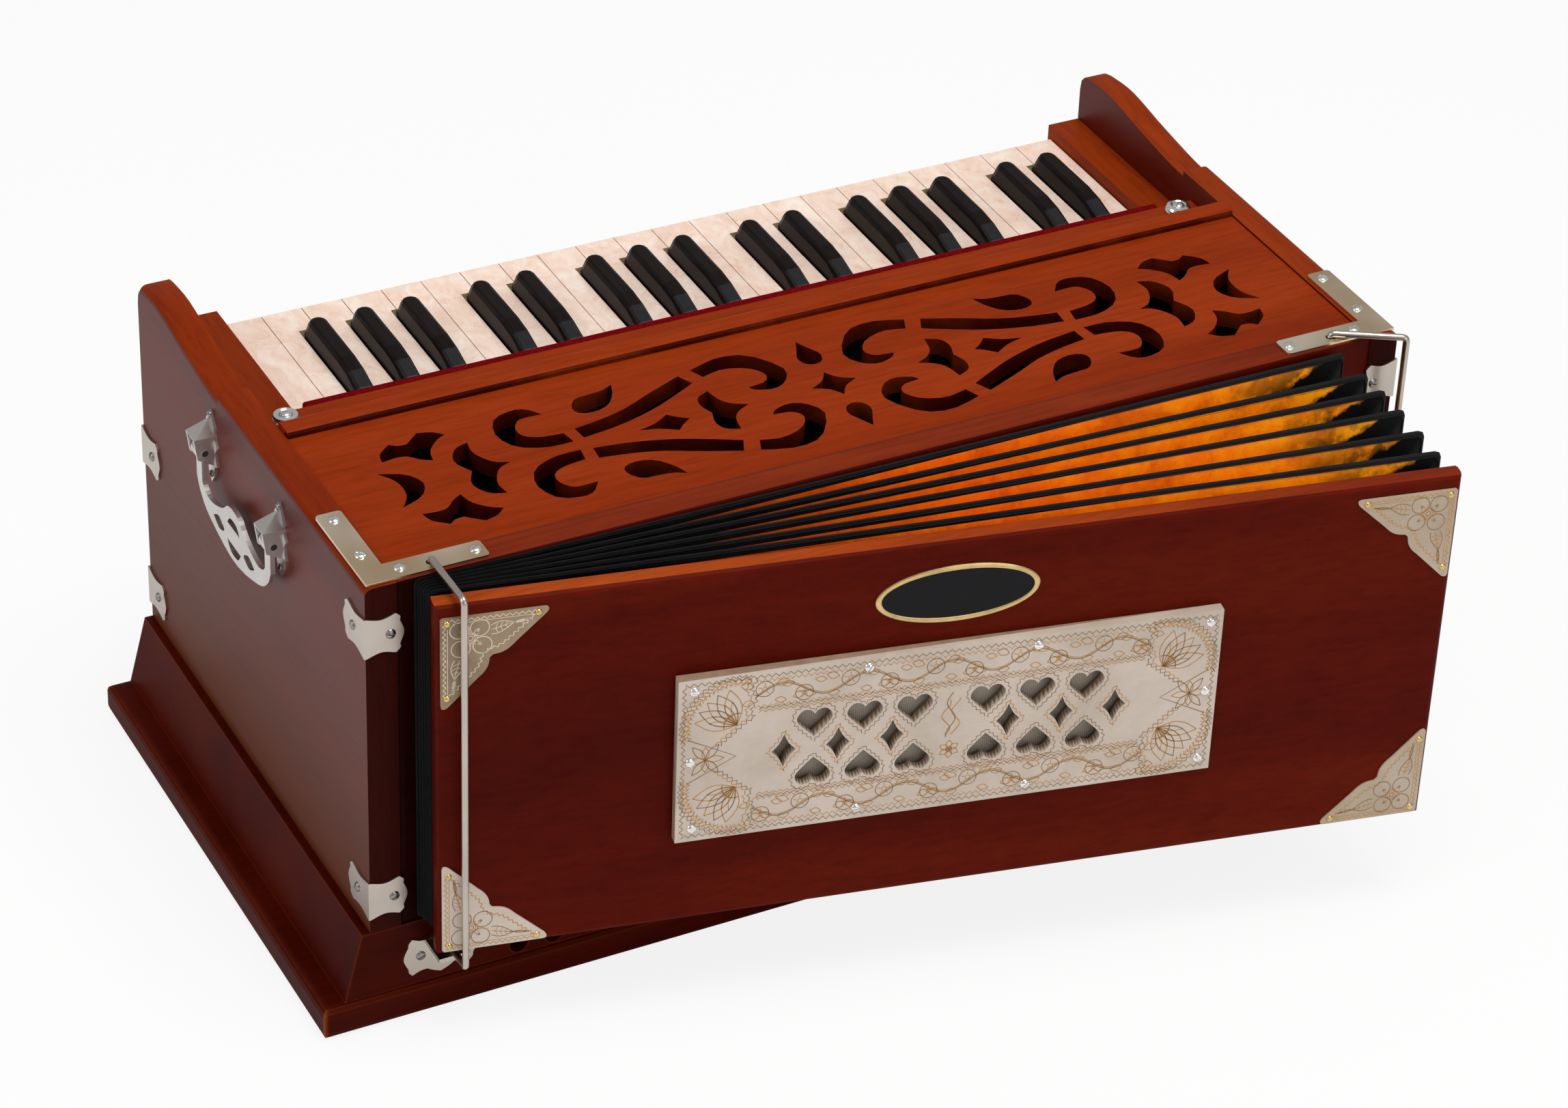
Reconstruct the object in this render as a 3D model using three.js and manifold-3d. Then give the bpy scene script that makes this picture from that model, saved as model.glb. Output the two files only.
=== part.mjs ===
// An Indian harmonium: a hand-pumped reed organ in a wooden case.
// The case stands on a plinth and base board. Its keyboard runs along the back edge,
// a fretwork cover closes the top, and a pump board swings on a pleated bellows in front.
// Frame: +X along the case towards the low notes, +Y from the bellows side to the player's side,
// +Z up. Case coordinates start at the case's front left corner on the ground, and the last
// group moves the origin to the middle of the base board's underside. Millimetres.

import * as THREE from 'three';
import { mergeVertices } from 'three/addons/utils/BufferGeometryUtils.js';
import Module from 'manifold-3d';

const wasm = await Module();
wasm.setup();

// Case
const caseLength = 560;
const caseDepth = 292;
const caseTop = 256;
const panelThickness = 16;
const wallThickness = 15;
const seat = 0.2;
const turnedGap = 0.3;
const overrun = 2;

// Base board and plinth
const baseHeight = 17.7;
const baseOverhang = 26;
const baseFrontLip = 3;
const baseEdgeRound = 4;
const plinthTop = 56;
const plinthLedge = 4.4;
const skirtFlare = 14;
const plinthBoard = 14;
const airHoleRadius = 5;
const airHoleHeight = 24;
const airHolePlaces = [78, 97];

// End panels and key cheeks
const cheekLength = 109;
const cheekDrop = 3;
const cheekRise = 8.5;
const cheekCorner = 8;
const cheekLowEnd = 16;
const cheekHigh = 30;
const edgeRound = 4;

// Key blocks between cheeks and keys
const blockTop = 232;
const blockHeight = 31;
const leftBlockWidth = 25.7;
const rightBlockWidth = 18.3;
const keyboardSide = 0.4;

// Keys
const whiteCount = 22;
const whiteTop = 225;
const keyBottom = 209;
const keyFrontInset = 2.5;
const keyReach = 185.5;
const keyTailLength = 8;
const keyGap = 0.45;
const whiteLip = 2;
const leverDrop = 2.5;
const leverCover = 5.4;
const blackWidth = 11.5;
const blackTop = 236;
const blackTaper = 7;
const blackRound = 2.4;
const blackSetback = 22.5;
const blackFeltGap = 0.9;
const blackSlopeLength = 39.4;
const blackRearDrop = 10.7;
const blackLeverDrop = 3;
const blackClearance = 0.8;
const twinShareOff = 0.074;
const tripleShareOff = 0.148;

// Deck below the keys
const deckTop = 198;
const deckThickness = 12;
const pivotRailWidth = 8;
const stopRailInset = 30;
const stopRailWidth = 9;
const stopRailRise = 2.6;
const bankDepth = 120;
const bankThickness = 16;
const bankStart = 60;
const reedWidth = 8;
const reedLength = 64;
const reedRelief = 0.8;

// Reservoir on its own board above the plinth
const reservoirLength = 420;
const reservoirDepth = 190;
const reservoirHeight = 66;
const reservoirFolds = 4;
const reservoirFoldDepth = 9;
const reservoirBoard = 9;

// Top cover
const coverTop = 255;
const coverThickness = 9;
const coverBarWidth = 12;
const coverBarTop = 259;
const coverBarRound = 2;
const noseInset = 118.6;
const noseDepth = 28.4;
const noseTop = 243.5;
const noseThickness = 5;
const fretLengthShare = 0.455;
const fretDepthShare = 0.384;
const fretSideShift = 1;
const fretBackShift = 1.9;
const cupRadius = 6.8;
const cupHeight = 3.4;
const cupSetback = 7.4;
const cupInset = 28.5;

// Felt strip at the keys
const feltWidth = 6;
const feltTop = 243;
const feltBottom = 226.5;

// Flat corner brackets on the top frame
const bracketArm = 62;
const bracketWidth = 13;
const bracketThickness = 1.4;
const bracketInset = 1.6;
const bracketEndCut = 1.6;

// Upright-edge brackets
const flapReach = 19;
const flapHeight = 22;
const flapThickness = 1;
const flapSideReach = 24;
const frontWallRecess = 0.6;
const upperFlapZ = 229;
const lowerFlapZ = 76;

// Wire latches
const wireRadius = 1.75;
const latchX = 36;
const latchY = 7;
const latchHoleRadius = 2.4;
const wireHoleDepth = 12;
const wireTopZ = 261.5;
const wireShoulderZ = 259.6;
const wireFootZ = 46;
const wireFootLength = 16;
const wireBend = 2.5;
const wireClearance = 2.5;
const wireSides = 8;
const rightSwingAngle = 60;

// Catch plates on the plinth
const catchZ = 35;
const catchReach = 19.5;
const catchHeight = 22;
const catchThickness = 1.2;
const tabWidth = 16;
const tabReach = 18;
const tabThickness = 2.2;

// Pump board
const pumpLength = 503.5;
const pumpOverhang = 12;
const pumpBottom = 51.5;
const pumpTop = 254.5;
const pumpThickness = 12;
const pumpRound = 3;
const pumpRoundDepth = 4;
const cornerLeg = 51;
const cornerThickness = 0.8;
const cornerMarginX = 2.4;
const cornerMarginTop = 6.3;
const cornerMarginBottom = 2.4;
const closedStack = 14;
const openAngle = 11.4;
const pocketLength = 190;
const pocketHeight = 52;
const pocketDepth = 4;
const intakeRadius = 7;
const intakeCount = 5;
const intakePitch = 34;

// Grille
const grilleLength = 270;
const grilleHeight = 94.5;
const grilleThickness = 5.5;
const grilleCentreX = 249.5;
const grilleCentreZ = 151.2;
const heartDrop = 0.8;
const grilleRows = 14.2;
const heartWidth = 18;
const heartHeight = 16.5;
const heartFirst = 18.2;
const heartPitch = 24.8;
const diamondWidth = 12;
const diamondHeight = 19;
const diamondFirst = 29;
const diamondPitch = 26.8;

// Bellows
const ridgeCount = 6;
const ridgeShare = 0.2;
const foldDepth = 24;
const bellowsWall = 1.5;
const bellowsBottom = 58;
const bellowsTop = 255.5;
const bellowsCorner = 6;
const bellowsEndInset = 1;
const bellowsSpans = 4;

// Carrying handles
const handleZ = 222;
const handleShift = 0.3;
const handleSpan = 89;
const handleOut = 6.5;
const bailThickness = 2.5;
const bailDrop = 39.5;
const eyeRadius = 4.2;
const eyeWidth = 7;
const pinRadius = 1.8;
const pinClearance = 0.4;
const earThickness = 1.6;
const earGap = 0.5;
const earOut = 12;
const earSkirt = 9.5;
const earChin = 3;
const earRoofRise = 8.6;
const earBrowRise = 13.5;
const earPeakRise = 17;
const earPlateWidth = 17;
const earPlateLow = 21;
const earPlateHigh = 21;
const earPlateThickness = 1.4;

// Stop board and knobs on the player's side
const stopBoardTop = 199;
const knobCount = 3;
const knobZ = 140;
const knobPitch = 150;
const stemRadius = 5;
const stemClearance = 0.4;
const stemLength = 34;
const knobRadius = 12;
const knobLength = 16;
const knobSegments = 16;

// Worked out from the sizes above
const wallFace = frontWallRecess;
const wallBack = wallFace + wallThickness;
const keyboardLeft = panelThickness + leftBlockWidth + keyboardSide;
const keyboardRight = caseLength - panelThickness - rightBlockWidth - keyboardSide;
const whitePitch = (keyboardRight - keyboardLeft) / whiteCount;
const keyEnd = caseDepth - keyFrontInset;
const blackCut = blackWidth / 2 + blackClearance;
const wireReach = latchY + closedStack + pumpThickness + cornerThickness + wireClearance + wireRadius;
const hingeY = -(closedStack + pumpThickness + cornerThickness);
const cheekStart = caseDepth - cheekLength;
const noseEnd = caseDepth - noseInset;
const coverBarEnd = noseEnd - noseDepth;
const coverBarStart = coverBarEnd - coverBarWidth;
const cupY = noseEnd - cupSetback;
const leverEnd = noseEnd - leverCover;
const blackEnd = keyEnd - blackSetback;
const blackStart = noseEnd + turnedGap + feltWidth + blackFeltGap;
const blackFlatStart = blackStart + blackSlopeLength;
const pivotY = keyEnd - keyReach;
const keyTail = pivotY - keyTailLength;
const stopRailY = caseDepth - stopRailInset;
const handleY = caseDepth / 2 + handleShift;
const coverLength = caseLength - 2 * (panelThickness + turnedGap);
const coverDepth = coverBarStart - wallBack - seat;
const fretHalfLength = coverLength * fretLengthShare;
const fretHalfDepth = coverDepth * fretDepthShare;
const fretCentreX = caseLength / 2 - fretSideShift;
const fretCentreY = (coverBarStart + wallBack + seat) / 2 - fretBackShift;

const wood = { color: 0x7a2c12, roughness: 0.4, metalness: 0 };
const coverWood = { color: 0x9c3f14, roughness: 0.42, metalness: 0 };
const plate = { color: 0xc9c4ba, roughness: 0.25, metalness: 1 };
const ivory = { color: 0xe9dccf, roughness: 0.3, metalness: 0 };
const ebony = { color: 0x17140f, roughness: 0.45, metalness: 0 };
const engraved = { color: 0xd6c3ac, roughness: 0.4, metalness: 0 };
const feltRed = { color: 0x6d0610, roughness: 0.95, metalness: 0 };
const leather = { color: 0x15141a, roughness: 0.7, metalness: 0 };
const paleWood = { color: 0xb98a55, roughness: 0.6, metalness: 0 };

// Geometry helpers

function toSolid(geometry) {
  const bare = geometry.clone();
  bare.deleteAttribute('normal');
  bare.deleteAttribute('uv');
  const merged = mergeVertices(bare);
  return new wasm.Manifold(new wasm.Mesh({
    numProp: 3,
    vertProperties: new Float32Array(merged.attributes.position.array),
    triVerts: new Uint32Array(merged.index.array),
  }));
}

function toGeometry(solid) {
  const mesh = solid.getMesh();
  const geometry = new THREE.BufferGeometry();
  geometry.setAttribute('position', new THREE.BufferAttribute(mesh.vertProperties, mesh.numProp));
  geometry.setIndex(new THREE.BufferAttribute(mesh.triVerts, 1));
  geometry.computeVertexNormals();
  return geometry;
}

const join = (solids) => solids.reduce((sum, next) => sum.add(next));
const cut = (body, tools) => tools.reduce((left, tool) => left.subtract(tool), body);

function block(x0, x1, y0, y1, z0, z1) {
  const geometry = new THREE.BoxGeometry(x1 - x0, y1 - y0, z1 - z0);
  geometry.translate((x0 + x1) / 2, (y0 + y1) / 2, (z0 + z1) / 2);
  return toSolid(geometry);
}

function polygon(points) {
  return new THREE.Shape(points.map(([x, y]) => new THREE.Vector2(x, y)));
}

// A body through outlines in Y and Z with as many points each, one at each place along X
function lofted(outlines, places) {
  const count = outlines[0].length;
  const positions = outlines.flatMap((outline, i) => outline.flatMap((p) => [places[i], p.x, p.y]));
  const index = [];
  for (let i = 0; i < outlines.length - 1; i += 1) {
    for (let k = 0; k < count; k += 1) {
      const a = i * count + k;
      const b = i * count + (k + 1) % count;
      index.push(a, b, b + count, a, b + count, a + count);
    }
  }
  const last = (outlines.length - 1) * count;
  for (const [a, b, c] of THREE.ShapeUtils.triangulateShape(outlines[0], [])) index.push(a, c, b);
  for (const [a, b, c] of THREE.ShapeUtils.triangulateShape(outlines[outlines.length - 1], [])) {
    index.push(last + a, last + b, last + c);
  }
  const geometry = new THREE.BufferGeometry();
  geometry.setAttribute('position', new THREE.BufferAttribute(new Float32Array(positions), 3));
  geometry.setIndex(index);
  return toSolid(geometry);
}

// A flat outline in X and Y pushed up from z0 to z1.
function raise(shape, z0, z1, options = {}) {
  const geometry = new THREE.ExtrudeGeometry(shape, { depth: z1 - z0, bevelEnabled: false, ...options });
  geometry.translate(0, 0, z0);
  return toSolid(geometry);
}

// An outline drawn in Y and Z, pushed along X from x0 to x1.
function alongX(shape, x0, x1, options = {}) {
  const geometry = new THREE.ExtrudeGeometry(shape, { depth: x1 - x0, bevelEnabled: false, ...options });
  geometry.applyMatrix4(new THREE.Matrix4().makeBasis(
    new THREE.Vector3(0, 1, 0), new THREE.Vector3(0, 0, 1), new THREE.Vector3(1, 0, 0)));
  geometry.translate(x0, 0, 0);
  return toSolid(geometry);
}

// An outline drawn in X and Z, pushed along Y from y0 to y1.
function alongY(shape, y0, y1, options = {}) {
  const geometry = new THREE.ExtrudeGeometry(shape, { depth: y1 - y0, bevelEnabled: false, ...options });
  geometry.rotateX(Math.PI / 2);
  geometry.translate(0, y1, 0);
  return toSolid(geometry);
}

function rod(radius, length, segments = 16) {
  return new THREE.CylinderGeometry(radius, radius, length, segments);
}

// A round bar along Y, from y0 to y1, about the point x, z.
function rodAlongY(radius, x, z, y0, y1, segments) {
  const geometry = rod(radius, y1 - y0, segments);
  geometry.translate(x, (y0 + y1) / 2, z);
  return toSolid(geometry);
}

function rodAlongZ(radius, x, y, z0, z1, segments) {
  const geometry = rod(radius, z1 - z0, segments);
  geometry.rotateX(Math.PI / 2);
  geometry.translate(x, y, (z0 + z1) / 2);
  return toSolid(geometry);
}

const mirrorX = (solid, middle) => solid.mirror([1, 0, 0]).translate([2 * middle, 0, 0]);

// An outline given as its start point and then runs of points. A run of one point is a straight
// line, a longer one is a smooth curve, and runs meet at corners. Each point is a share of the
// sizes given with it, measured from the outline's middle. A size below zero flips the outline.
function curved([first, ...runs], sizeX, sizeY, middleX = 0, middleY = 0) {
  const place = ([x, y]) => new THREE.Vector2(middleX + x * sizeX, middleY + y * sizeY);
  const path = new THREE.Shape();
  path.moveTo(place(first).x, place(first).y);
  for (const run of runs) {
    if (run.length === 1) path.lineTo(place(run[0]).x, place(run[0]).y);
    else path.splineThru(run.map(place));
  }
  return path;
}

const root = new THREE.Group();
root.position.set(-caseLength / 2, -caseDepth / 2, 0);

function add(name, solid, finish, parent = root) {
  const mesh = new THREE.Mesh(toGeometry(solid), new THREE.MeshStandardMaterial(finish));
  mesh.name = name;
  parent.add(mesh);
}

// Base board with a rounded lip all round

function baseBoard() {
  const r = baseEdgeRound;
  const outline = polygon([
    [-baseOverhang + r, -baseFrontLip + r],
    [caseLength + baseOverhang - r, -baseFrontLip + r],
    [caseLength + baseOverhang - r, caseDepth + baseFrontLip - r],
    [-baseOverhang + r, caseDepth + baseFrontLip - r],
  ]);
  return raise(outline, r, baseHeight - r,
    { bevelEnabled: true, bevelThickness: r, bevelSize: r, bevelSegments: 3 });
}

// Catch plate outline, as shares of its reach and half its height
const catchShares = [[0, -1.15],
  [[-0.2, -1], [-0.36, -0.82]],
  [[-0.56, -0.84], [-0.77, -1]],
  [[-0.86, -0.8], [-0.87, -0.62]],
  [[-1, 0], [-0.87, 0.62]],
  [[-0.86, 0.8], [-0.77, 1]],
  [[-0.56, 0.84], [-0.36, 0.82]],
  [[0, 0.95], [0.36, 0.82]],
  [[0.56, 0.84], [0.77, 1]],
  [[0.86, 0.8], [0.87, 0.62]],
  [[1, 0], [0.87, -0.62]],
  [[0.86, -0.8], [0.77, -1]],
  [[0.56, -0.84], [0.36, -0.82]],
  [[0.2, -1], [0, -1.15]],
];

function catchPlate(x) {
  const shape = curved(catchShares, catchReach, catchHeight / 2, x, catchZ);
  const face = alongY(shape, -catchThickness, seat, { curveSegments: 3 });
  const tabTop = wireFootZ - wireRadius - turnedGap;
  const tab = block(x - tabWidth / 2, x + tabWidth / 2, -tabReach, seat, tabTop - tabThickness, tabTop);
  return face.add(tab);
}

// Plinth: flared skirts at both ends, plain boards in front and behind, open in the middle
function plinth() {
  const bottom = baseHeight + seat;
  const skirt = alongY(polygon([
    [-skirtFlare, bottom], [plinthBoard, bottom], [plinthBoard, plinthTop], [-plinthLedge, plinthTop],
  ]), 0, caseDepth);
  const front = block(0, caseLength, 0, plinthBoard, bottom, plinthTop);
  const back = block(0, caseLength, caseDepth - plinthBoard, caseDepth, bottom, plinthTop);
  const frame = join([skirt, mirrorX(skirt, caseLength / 2), front, back,
    catchPlate(latchX), catchPlate(caseLength - latchX)]);
  return cut(frame, airHolePlaces.map((x) =>
    rodAlongY(airHoleRadius, x, airHoleHeight, -overrun, plinthBoard + overrun, 12)));
}

// Side outline of an end panel: level beside the cover, a small step, then the cheek's slow swell

function panelShape(drop) {
  const low = caseTop - cheekDrop - drop;
  const high = low + cheekRise;
  const shape = new THREE.Shape();
  shape.moveTo(0, plinthTop + seat);
  shape.lineTo(caseDepth, plinthTop + seat);
  shape.lineTo(caseDepth, high - cheekCorner - cheekDrop);
  shape.quadraticCurveTo(caseDepth, high - cheekDrop / 2, caseDepth - cheekCorner, high - cheekDrop / 2);
  shape.splineThru([
    new THREE.Vector2(caseDepth - cheekHigh, high),
    new THREE.Vector2((caseDepth - cheekHigh + cheekStart + cheekLowEnd) / 2, (low + high) / 2),
    new THREE.Vector2(cheekStart + cheekLowEnd, low + cheekDrop / 4),
    new THREE.Vector2(cheekStart, low),
  ]);
  shape.lineTo(cheekStart, caseTop - drop);
  shape.lineTo(0, caseTop - drop);
  return shape.extractPoints(3).shape;
}

// The end board: its upper outer edge is rounded over. Each step is a share of the rounding in
// from the outer face and a share of it down from the top.
const edgeRoundShares = [[0, 1], [0.07, 0.62], [0.29, 0.29], [0.62, 0.07], [1, 0]];

function endBoard() {
  const outlines = edgeRoundShares.map(([, down]) => panelShape(edgeRound * down));
  const places = edgeRoundShares.map(([inward]) => edgeRound * inward);
  return lofted([...outlines, panelShape(0)], [...places, panelThickness]);
}

// Bracket flap outline, as shares of its reach and half its height
const flapShares = [[0, -1],
  [[0.4, -0.82], [0.78, -1]],
  [[0.9, -0.8], [0.89, -0.6]],
  [[1, 0], [0.89, 0.6]],
  [[0.9, 0.8], [0.78, 1]],
  [[0.4, 0.82], [0, 1]],
  [[0, -1]],
];

// One bracket folded round an upright edge, with a flap on the end and one on the long side.
function uprightBracket(z) {
  const end = curved(flapShares, flapSideReach, flapHeight / 2, 0, z);
  const long = curved(flapShares, flapReach, flapHeight / 2, 0, z);
  return join([
    alongX(end, -flapThickness, turnedGap, { curveSegments: 3 }),
    alongY(long, -flapThickness, turnedGap, { curveSegments: 3 }),
    block(-flapThickness, turnedGap, -flapThickness, turnedGap, z - flapHeight / 2, z + flapHeight / 2),
  ]);
}

// Back plate of a handle's housing, as shares of half its width and half its height
const earPlateShares = [[0, -1],
  [[0.45, -0.74]],
  [[0.52, -0.5], [0.92, -0.4]],
  [[0.66, -0.1], [1, 0.14]],
  [[0.6, 0.36], [0.62, 0.64]],
  [[0, 1]],
  [[-0.62, 0.64]],
  [[-0.6, 0.36], [-1, 0.14]],
  [[-0.66, -0.1], [-0.92, -0.4]],
  [[-0.52, -0.5], [-0.45, -0.74]],
  [[0, -1]],
];

// Housing of a handle's end: a back plate, two cheeks with the pin between them, and a hipped roof
function handleEar(y) {
  const inner = eyeWidth / 2 + earGap;
  const outer = inner + earThickness;
  const eaves = handleZ + earRoofRise;
  const outline = curved(earPlateShares, earPlateWidth / 2, (earPlateLow + earPlateHigh) / 2, y,
    handleZ + (earPlateHigh - earPlateLow) / 2);
  const cheek = polygon([
    [turnedGap, handleZ - earSkirt], [-earOut + earThickness, handleZ - earChin],
    [-earOut, eaves], [turnedGap, eaves],
  ]);
  const roof = wasm.Manifold.hull([
    [turnedGap, y - outer, eaves - seat], [turnedGap, y + outer, eaves - seat],
    [-earOut, y - outer, eaves - seat], [-earOut, y + outer, eaves - seat],
    [-earOut, y - outer, eaves + seat], [-earOut, y + outer, eaves + seat],
    [-earOut / 2, y, handleZ + earBrowRise],
    [turnedGap, y, handleZ + earPeakRise], [-earPlateThickness, y, handleZ + earPeakRise],
  ]);
  return join([
    alongX(outline, -earPlateThickness, turnedGap, { curveSegments: 2 }),
    alongY(cheek, y - outer, y - inner),
    alongY(cheek, y + inner, y + outer),
    roof,
    rodAlongY(pinRadius, -handleOut, handleZ, y - outer - seat, y + outer + seat, 8),
  ]);
}

function keyBlock(width) {
  const x0 = panelThickness - turnedGap;
  const top = block(x0, panelThickness + width, coverBarEnd + seat, caseDepth, blockTop - blockHeight, blockTop);
  const riser = block(x0, panelThickness + width, coverBarEnd + seat, noseEnd,
    blockTop - turnedGap, noseTop - noseThickness - seat);
  return top.add(riser);
}

function endPanel(blockWidth) {

  const backBracket = (z) => uprightBracket(z).mirror([0, 1, 0]).translate([0, caseDepth, 0]);
  return join([
    endBoard(),
    uprightBracket(upperFlapZ), uprightBracket(lowerFlapZ),
    backBracket(upperFlapZ - flapHeight * 3), backBracket(lowerFlapZ),
    handleEar(handleY - handleSpan / 2), handleEar(handleY + handleSpan / 2),
    keyBlock(blockWidth),
  ]);
}

// Wall behind the bellows, with the top rail that carries the corner brackets
function bellowsWallBoard() {
  const x0 = panelThickness + seat;
  const x1 = caseLength - x0;
  const board = block(x0, x1, wallFace, wallBack, plinthTop + seat, caseTop);
  const intakes = [];
  for (let i = 0; i < intakeCount; i += 1) {
    const x = caseLength / 2 + (i - (intakeCount - 1) / 2) * intakePitch;
    intakes.push(rodAlongY(intakeRadius, x, grilleCentreZ, wallFace - overrun, wallBack + overrun, 12));
  }
  for (const x of [latchX, caseLength - latchX]) {
    intakes.push(rodAlongZ(latchHoleRadius, x, latchY, caseTop - wireHoleDepth - overrun, caseTop + overrun, 12));
  }
  return cut(board, intakes);
}

// Board under the keys on the player's side, with the stop knobs' holes
const knobPlaces = Array.from({ length: knobCount },
  (_, i) => caseLength / 2 + (i - (knobCount - 1) / 2) * knobPitch);

function stopBoard() {
  const x0 = panelThickness + seat;
  const y1 = caseDepth - frontWallRecess;
  const board = block(x0, caseLength - x0, y1 - wallThickness, y1, plinthTop + seat, stopBoardTop);
  return cut(board, knobPlaces.map((x) =>
    rodAlongY(stemRadius + stemClearance, x, knobZ, y1 - wallThickness - overrun, y1 + overrun, 16)));
}

function stopKnob() {
  const y0 = caseDepth - wallThickness - stemLength / 2;
  const neck = caseDepth + seat;
  const profile = [
    [0, 0], [stemRadius, 0], [stemRadius, neck - y0], [knobRadius * 0.62, neck - y0],
    [knobRadius * 0.5, neck - y0 + knobLength * 0.3],
    [knobRadius * 0.85, neck - y0 + knobLength * 0.5],
    [knobRadius, neck - y0 + knobLength * 0.75],
    [knobRadius * 0.8, neck - y0 + knobLength * 0.95],
    [0, neck - y0 + knobLength],
  ].map(([r, h]) => new THREE.Vector2(r, h));
  const geometry = new THREE.LatheGeometry(profile, knobSegments);
  geometry.translate(0, y0, 0);
  return toSolid(geometry);
}

// Deck under the keys, with the rail they tilt on and the rail that stops them
function reedDeck() {
  const x0 = panelThickness + seat;
  const x1 = caseLength - x0;
  const y1 = caseDepth - frontWallRecess - wallThickness - seat;
  return join([
    block(x0, x1, wallBack + seat, y1, deckTop - deckThickness, deckTop),
    block(keyboardLeft, keyboardRight, pivotY - pivotRailWidth / 2, pivotY + pivotRailWidth / 2,
      deckTop - turnedGap, keyBottom - turnedGap),
    block(keyboardLeft, keyboardRight, stopRailY - stopRailWidth / 2, stopRailY + stopRailWidth / 2,
      deckTop - turnedGap, deckTop + stopRailRise),
  ]);
}

// Reeds under the deck: one brass plate for each key, standing slightly proud of the bank
function reedBank() {
  const z1 = deckTop - deckThickness - seat;
  const z0 = z1 - bankThickness;
  const bank = block(keyboardLeft, keyboardRight, bankStart, bankStart + bankDepth, z0, z1);
  const middle = bankStart + bankDepth / 2;
  return join([bank, ...keyList().map((key) => {
    const x = keyMiddle(key);
    return block(x - reedWidth / 2, x + reedWidth / 2, middle - reedLength / 2, middle + reedLength / 2,
      z0 - reedRelief, z0 + seat);
  })]);
}

// Pleated reservoir that evens out the wind
function reservoir() {
  const x0 = panelThickness + 2 * seat;
  const z0 = plinthTop + seat;
  const board = block(x0, caseLength - x0, wallBack + seat,
    caseDepth - frontWallRecess - wallThickness - seat, z0, z0 + reservoirBoard);
  const top = z0 + reservoirBoard + reservoirHeight;
  const halfX = reservoirLength / 2;
  const points = [[0, z0 + reservoirBoard - seat], [halfX, z0 + reservoirBoard - seat]];
  const pitch = (reservoirHeight - reservoirBoard) / reservoirFolds;
  for (let i = 0; i < reservoirFolds; i += 1) {
    const z = z0 + reservoirBoard + i * pitch;
    points.push([halfX, z + pitch / 4], [halfX - reservoirFoldDepth, z + pitch / 2], [halfX, z + pitch * 3 / 4]);
  }
  points.push([halfX, top - reservoirBoard], [halfX, top], [0, top]);
  const mirrored = points.slice(1, -1).reverse().map(([x, z]) => [-x, z]);
  const folds = alongY(polygon([...points.slice(1, -1), ...mirrored]),
    (caseDepth - reservoirDepth) / 2, (caseDepth + reservoirDepth) / 2);
  return board.add(folds.translate([caseLength / 2, 0, 0]));
}

// Keys. Number 0 is the lowest note, at the right of the case, and notes rise towards the left.
// A white key has a number and a black key has the boundary between whites that it sits at.

const blackShifts = { 1: -twinShareOff, 2: twinShareOff, 4: -tripleShareOff, 5: 0, 6: tripleShareOff };
const octaveWhites = 7;

function keyList() {
  const keys = [];
  for (let w = 0; w < whiteCount; w += 1) {
    const shift = blackShifts[w % octaveWhites];
    if (shift !== undefined && w > 0) keys.push({ black: true, at: w + shift });
    keys.push({ black: false, at: w });
  }
  return keys;
}

const blackX = (at) => keyboardRight - whitePitch * at;

function keyMiddle(key) {
  return key.black ? blackX(key.at) : keyboardRight - whitePitch * (key.at + 1 / 2);
}

// Plan outline of a white key, cut back where its black neighbours stand
function whiteOutline(w) {
  const right = keyboardRight - whitePitch * w - keyGap / 2;
  const left = right - whitePitch + keyGap;
  const rightShift = w > 0 ? blackShifts[w % octaveWhites] : undefined;
  const leftShift = w < whiteCount - 1 ? blackShifts[(w + 1) % octaveWhites] : undefined;
  const rightTail = rightShift === undefined ? right : blackX(w + rightShift) - blackCut;
  const leftTail = leftShift === undefined ? left : blackX(w + 1 + leftShift) + blackCut;
  const cutEnd = blackEnd + blackClearance;
  const points = [[left, keyEnd], [right, keyEnd]];
  if (rightTail < right) points.push([right, cutEnd], [rightTail, cutEnd]);
  points.push([rightTail, keyTail], [leftTail, keyTail]);
  if (leftTail > left) points.push([leftTail, cutEnd], [left, cutEnd]);
  return polygon(points);
}

function whiteKey(w) {
  const side = polygon([
    [keyTail, keyBottom], [keyEnd, keyBottom],
    [keyEnd, whiteTop - whiteLip / 2], [keyEnd - whiteLip / 2, whiteTop],
    [leverEnd, whiteTop], [leverEnd, whiteTop - leverDrop], [keyTail, whiteTop - leverDrop],
  ]);
  return raise(whiteOutline(w), keyBottom, whiteTop).intersect(alongX(side, 0, caseLength));
}

// A black key's upper part, level by level: share of its half width, share of the rounding that
// the level lies below the top, and share of the taper that its end lies back
const blackLevelShares = [[0.5, 0, 1], [0.74, 0.3, 0.82], [0.87, 1, 0.66]];
// How its top falls towards the felt: share of the slope's length and of the drop
const blackFallShares = [[0, 0], [0.3, 0.12], [0.6, 0.42], [0.85, 0.78], [1, 1]];
const blackEndShares = [0, 0.55, 0.87, 1];

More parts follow.
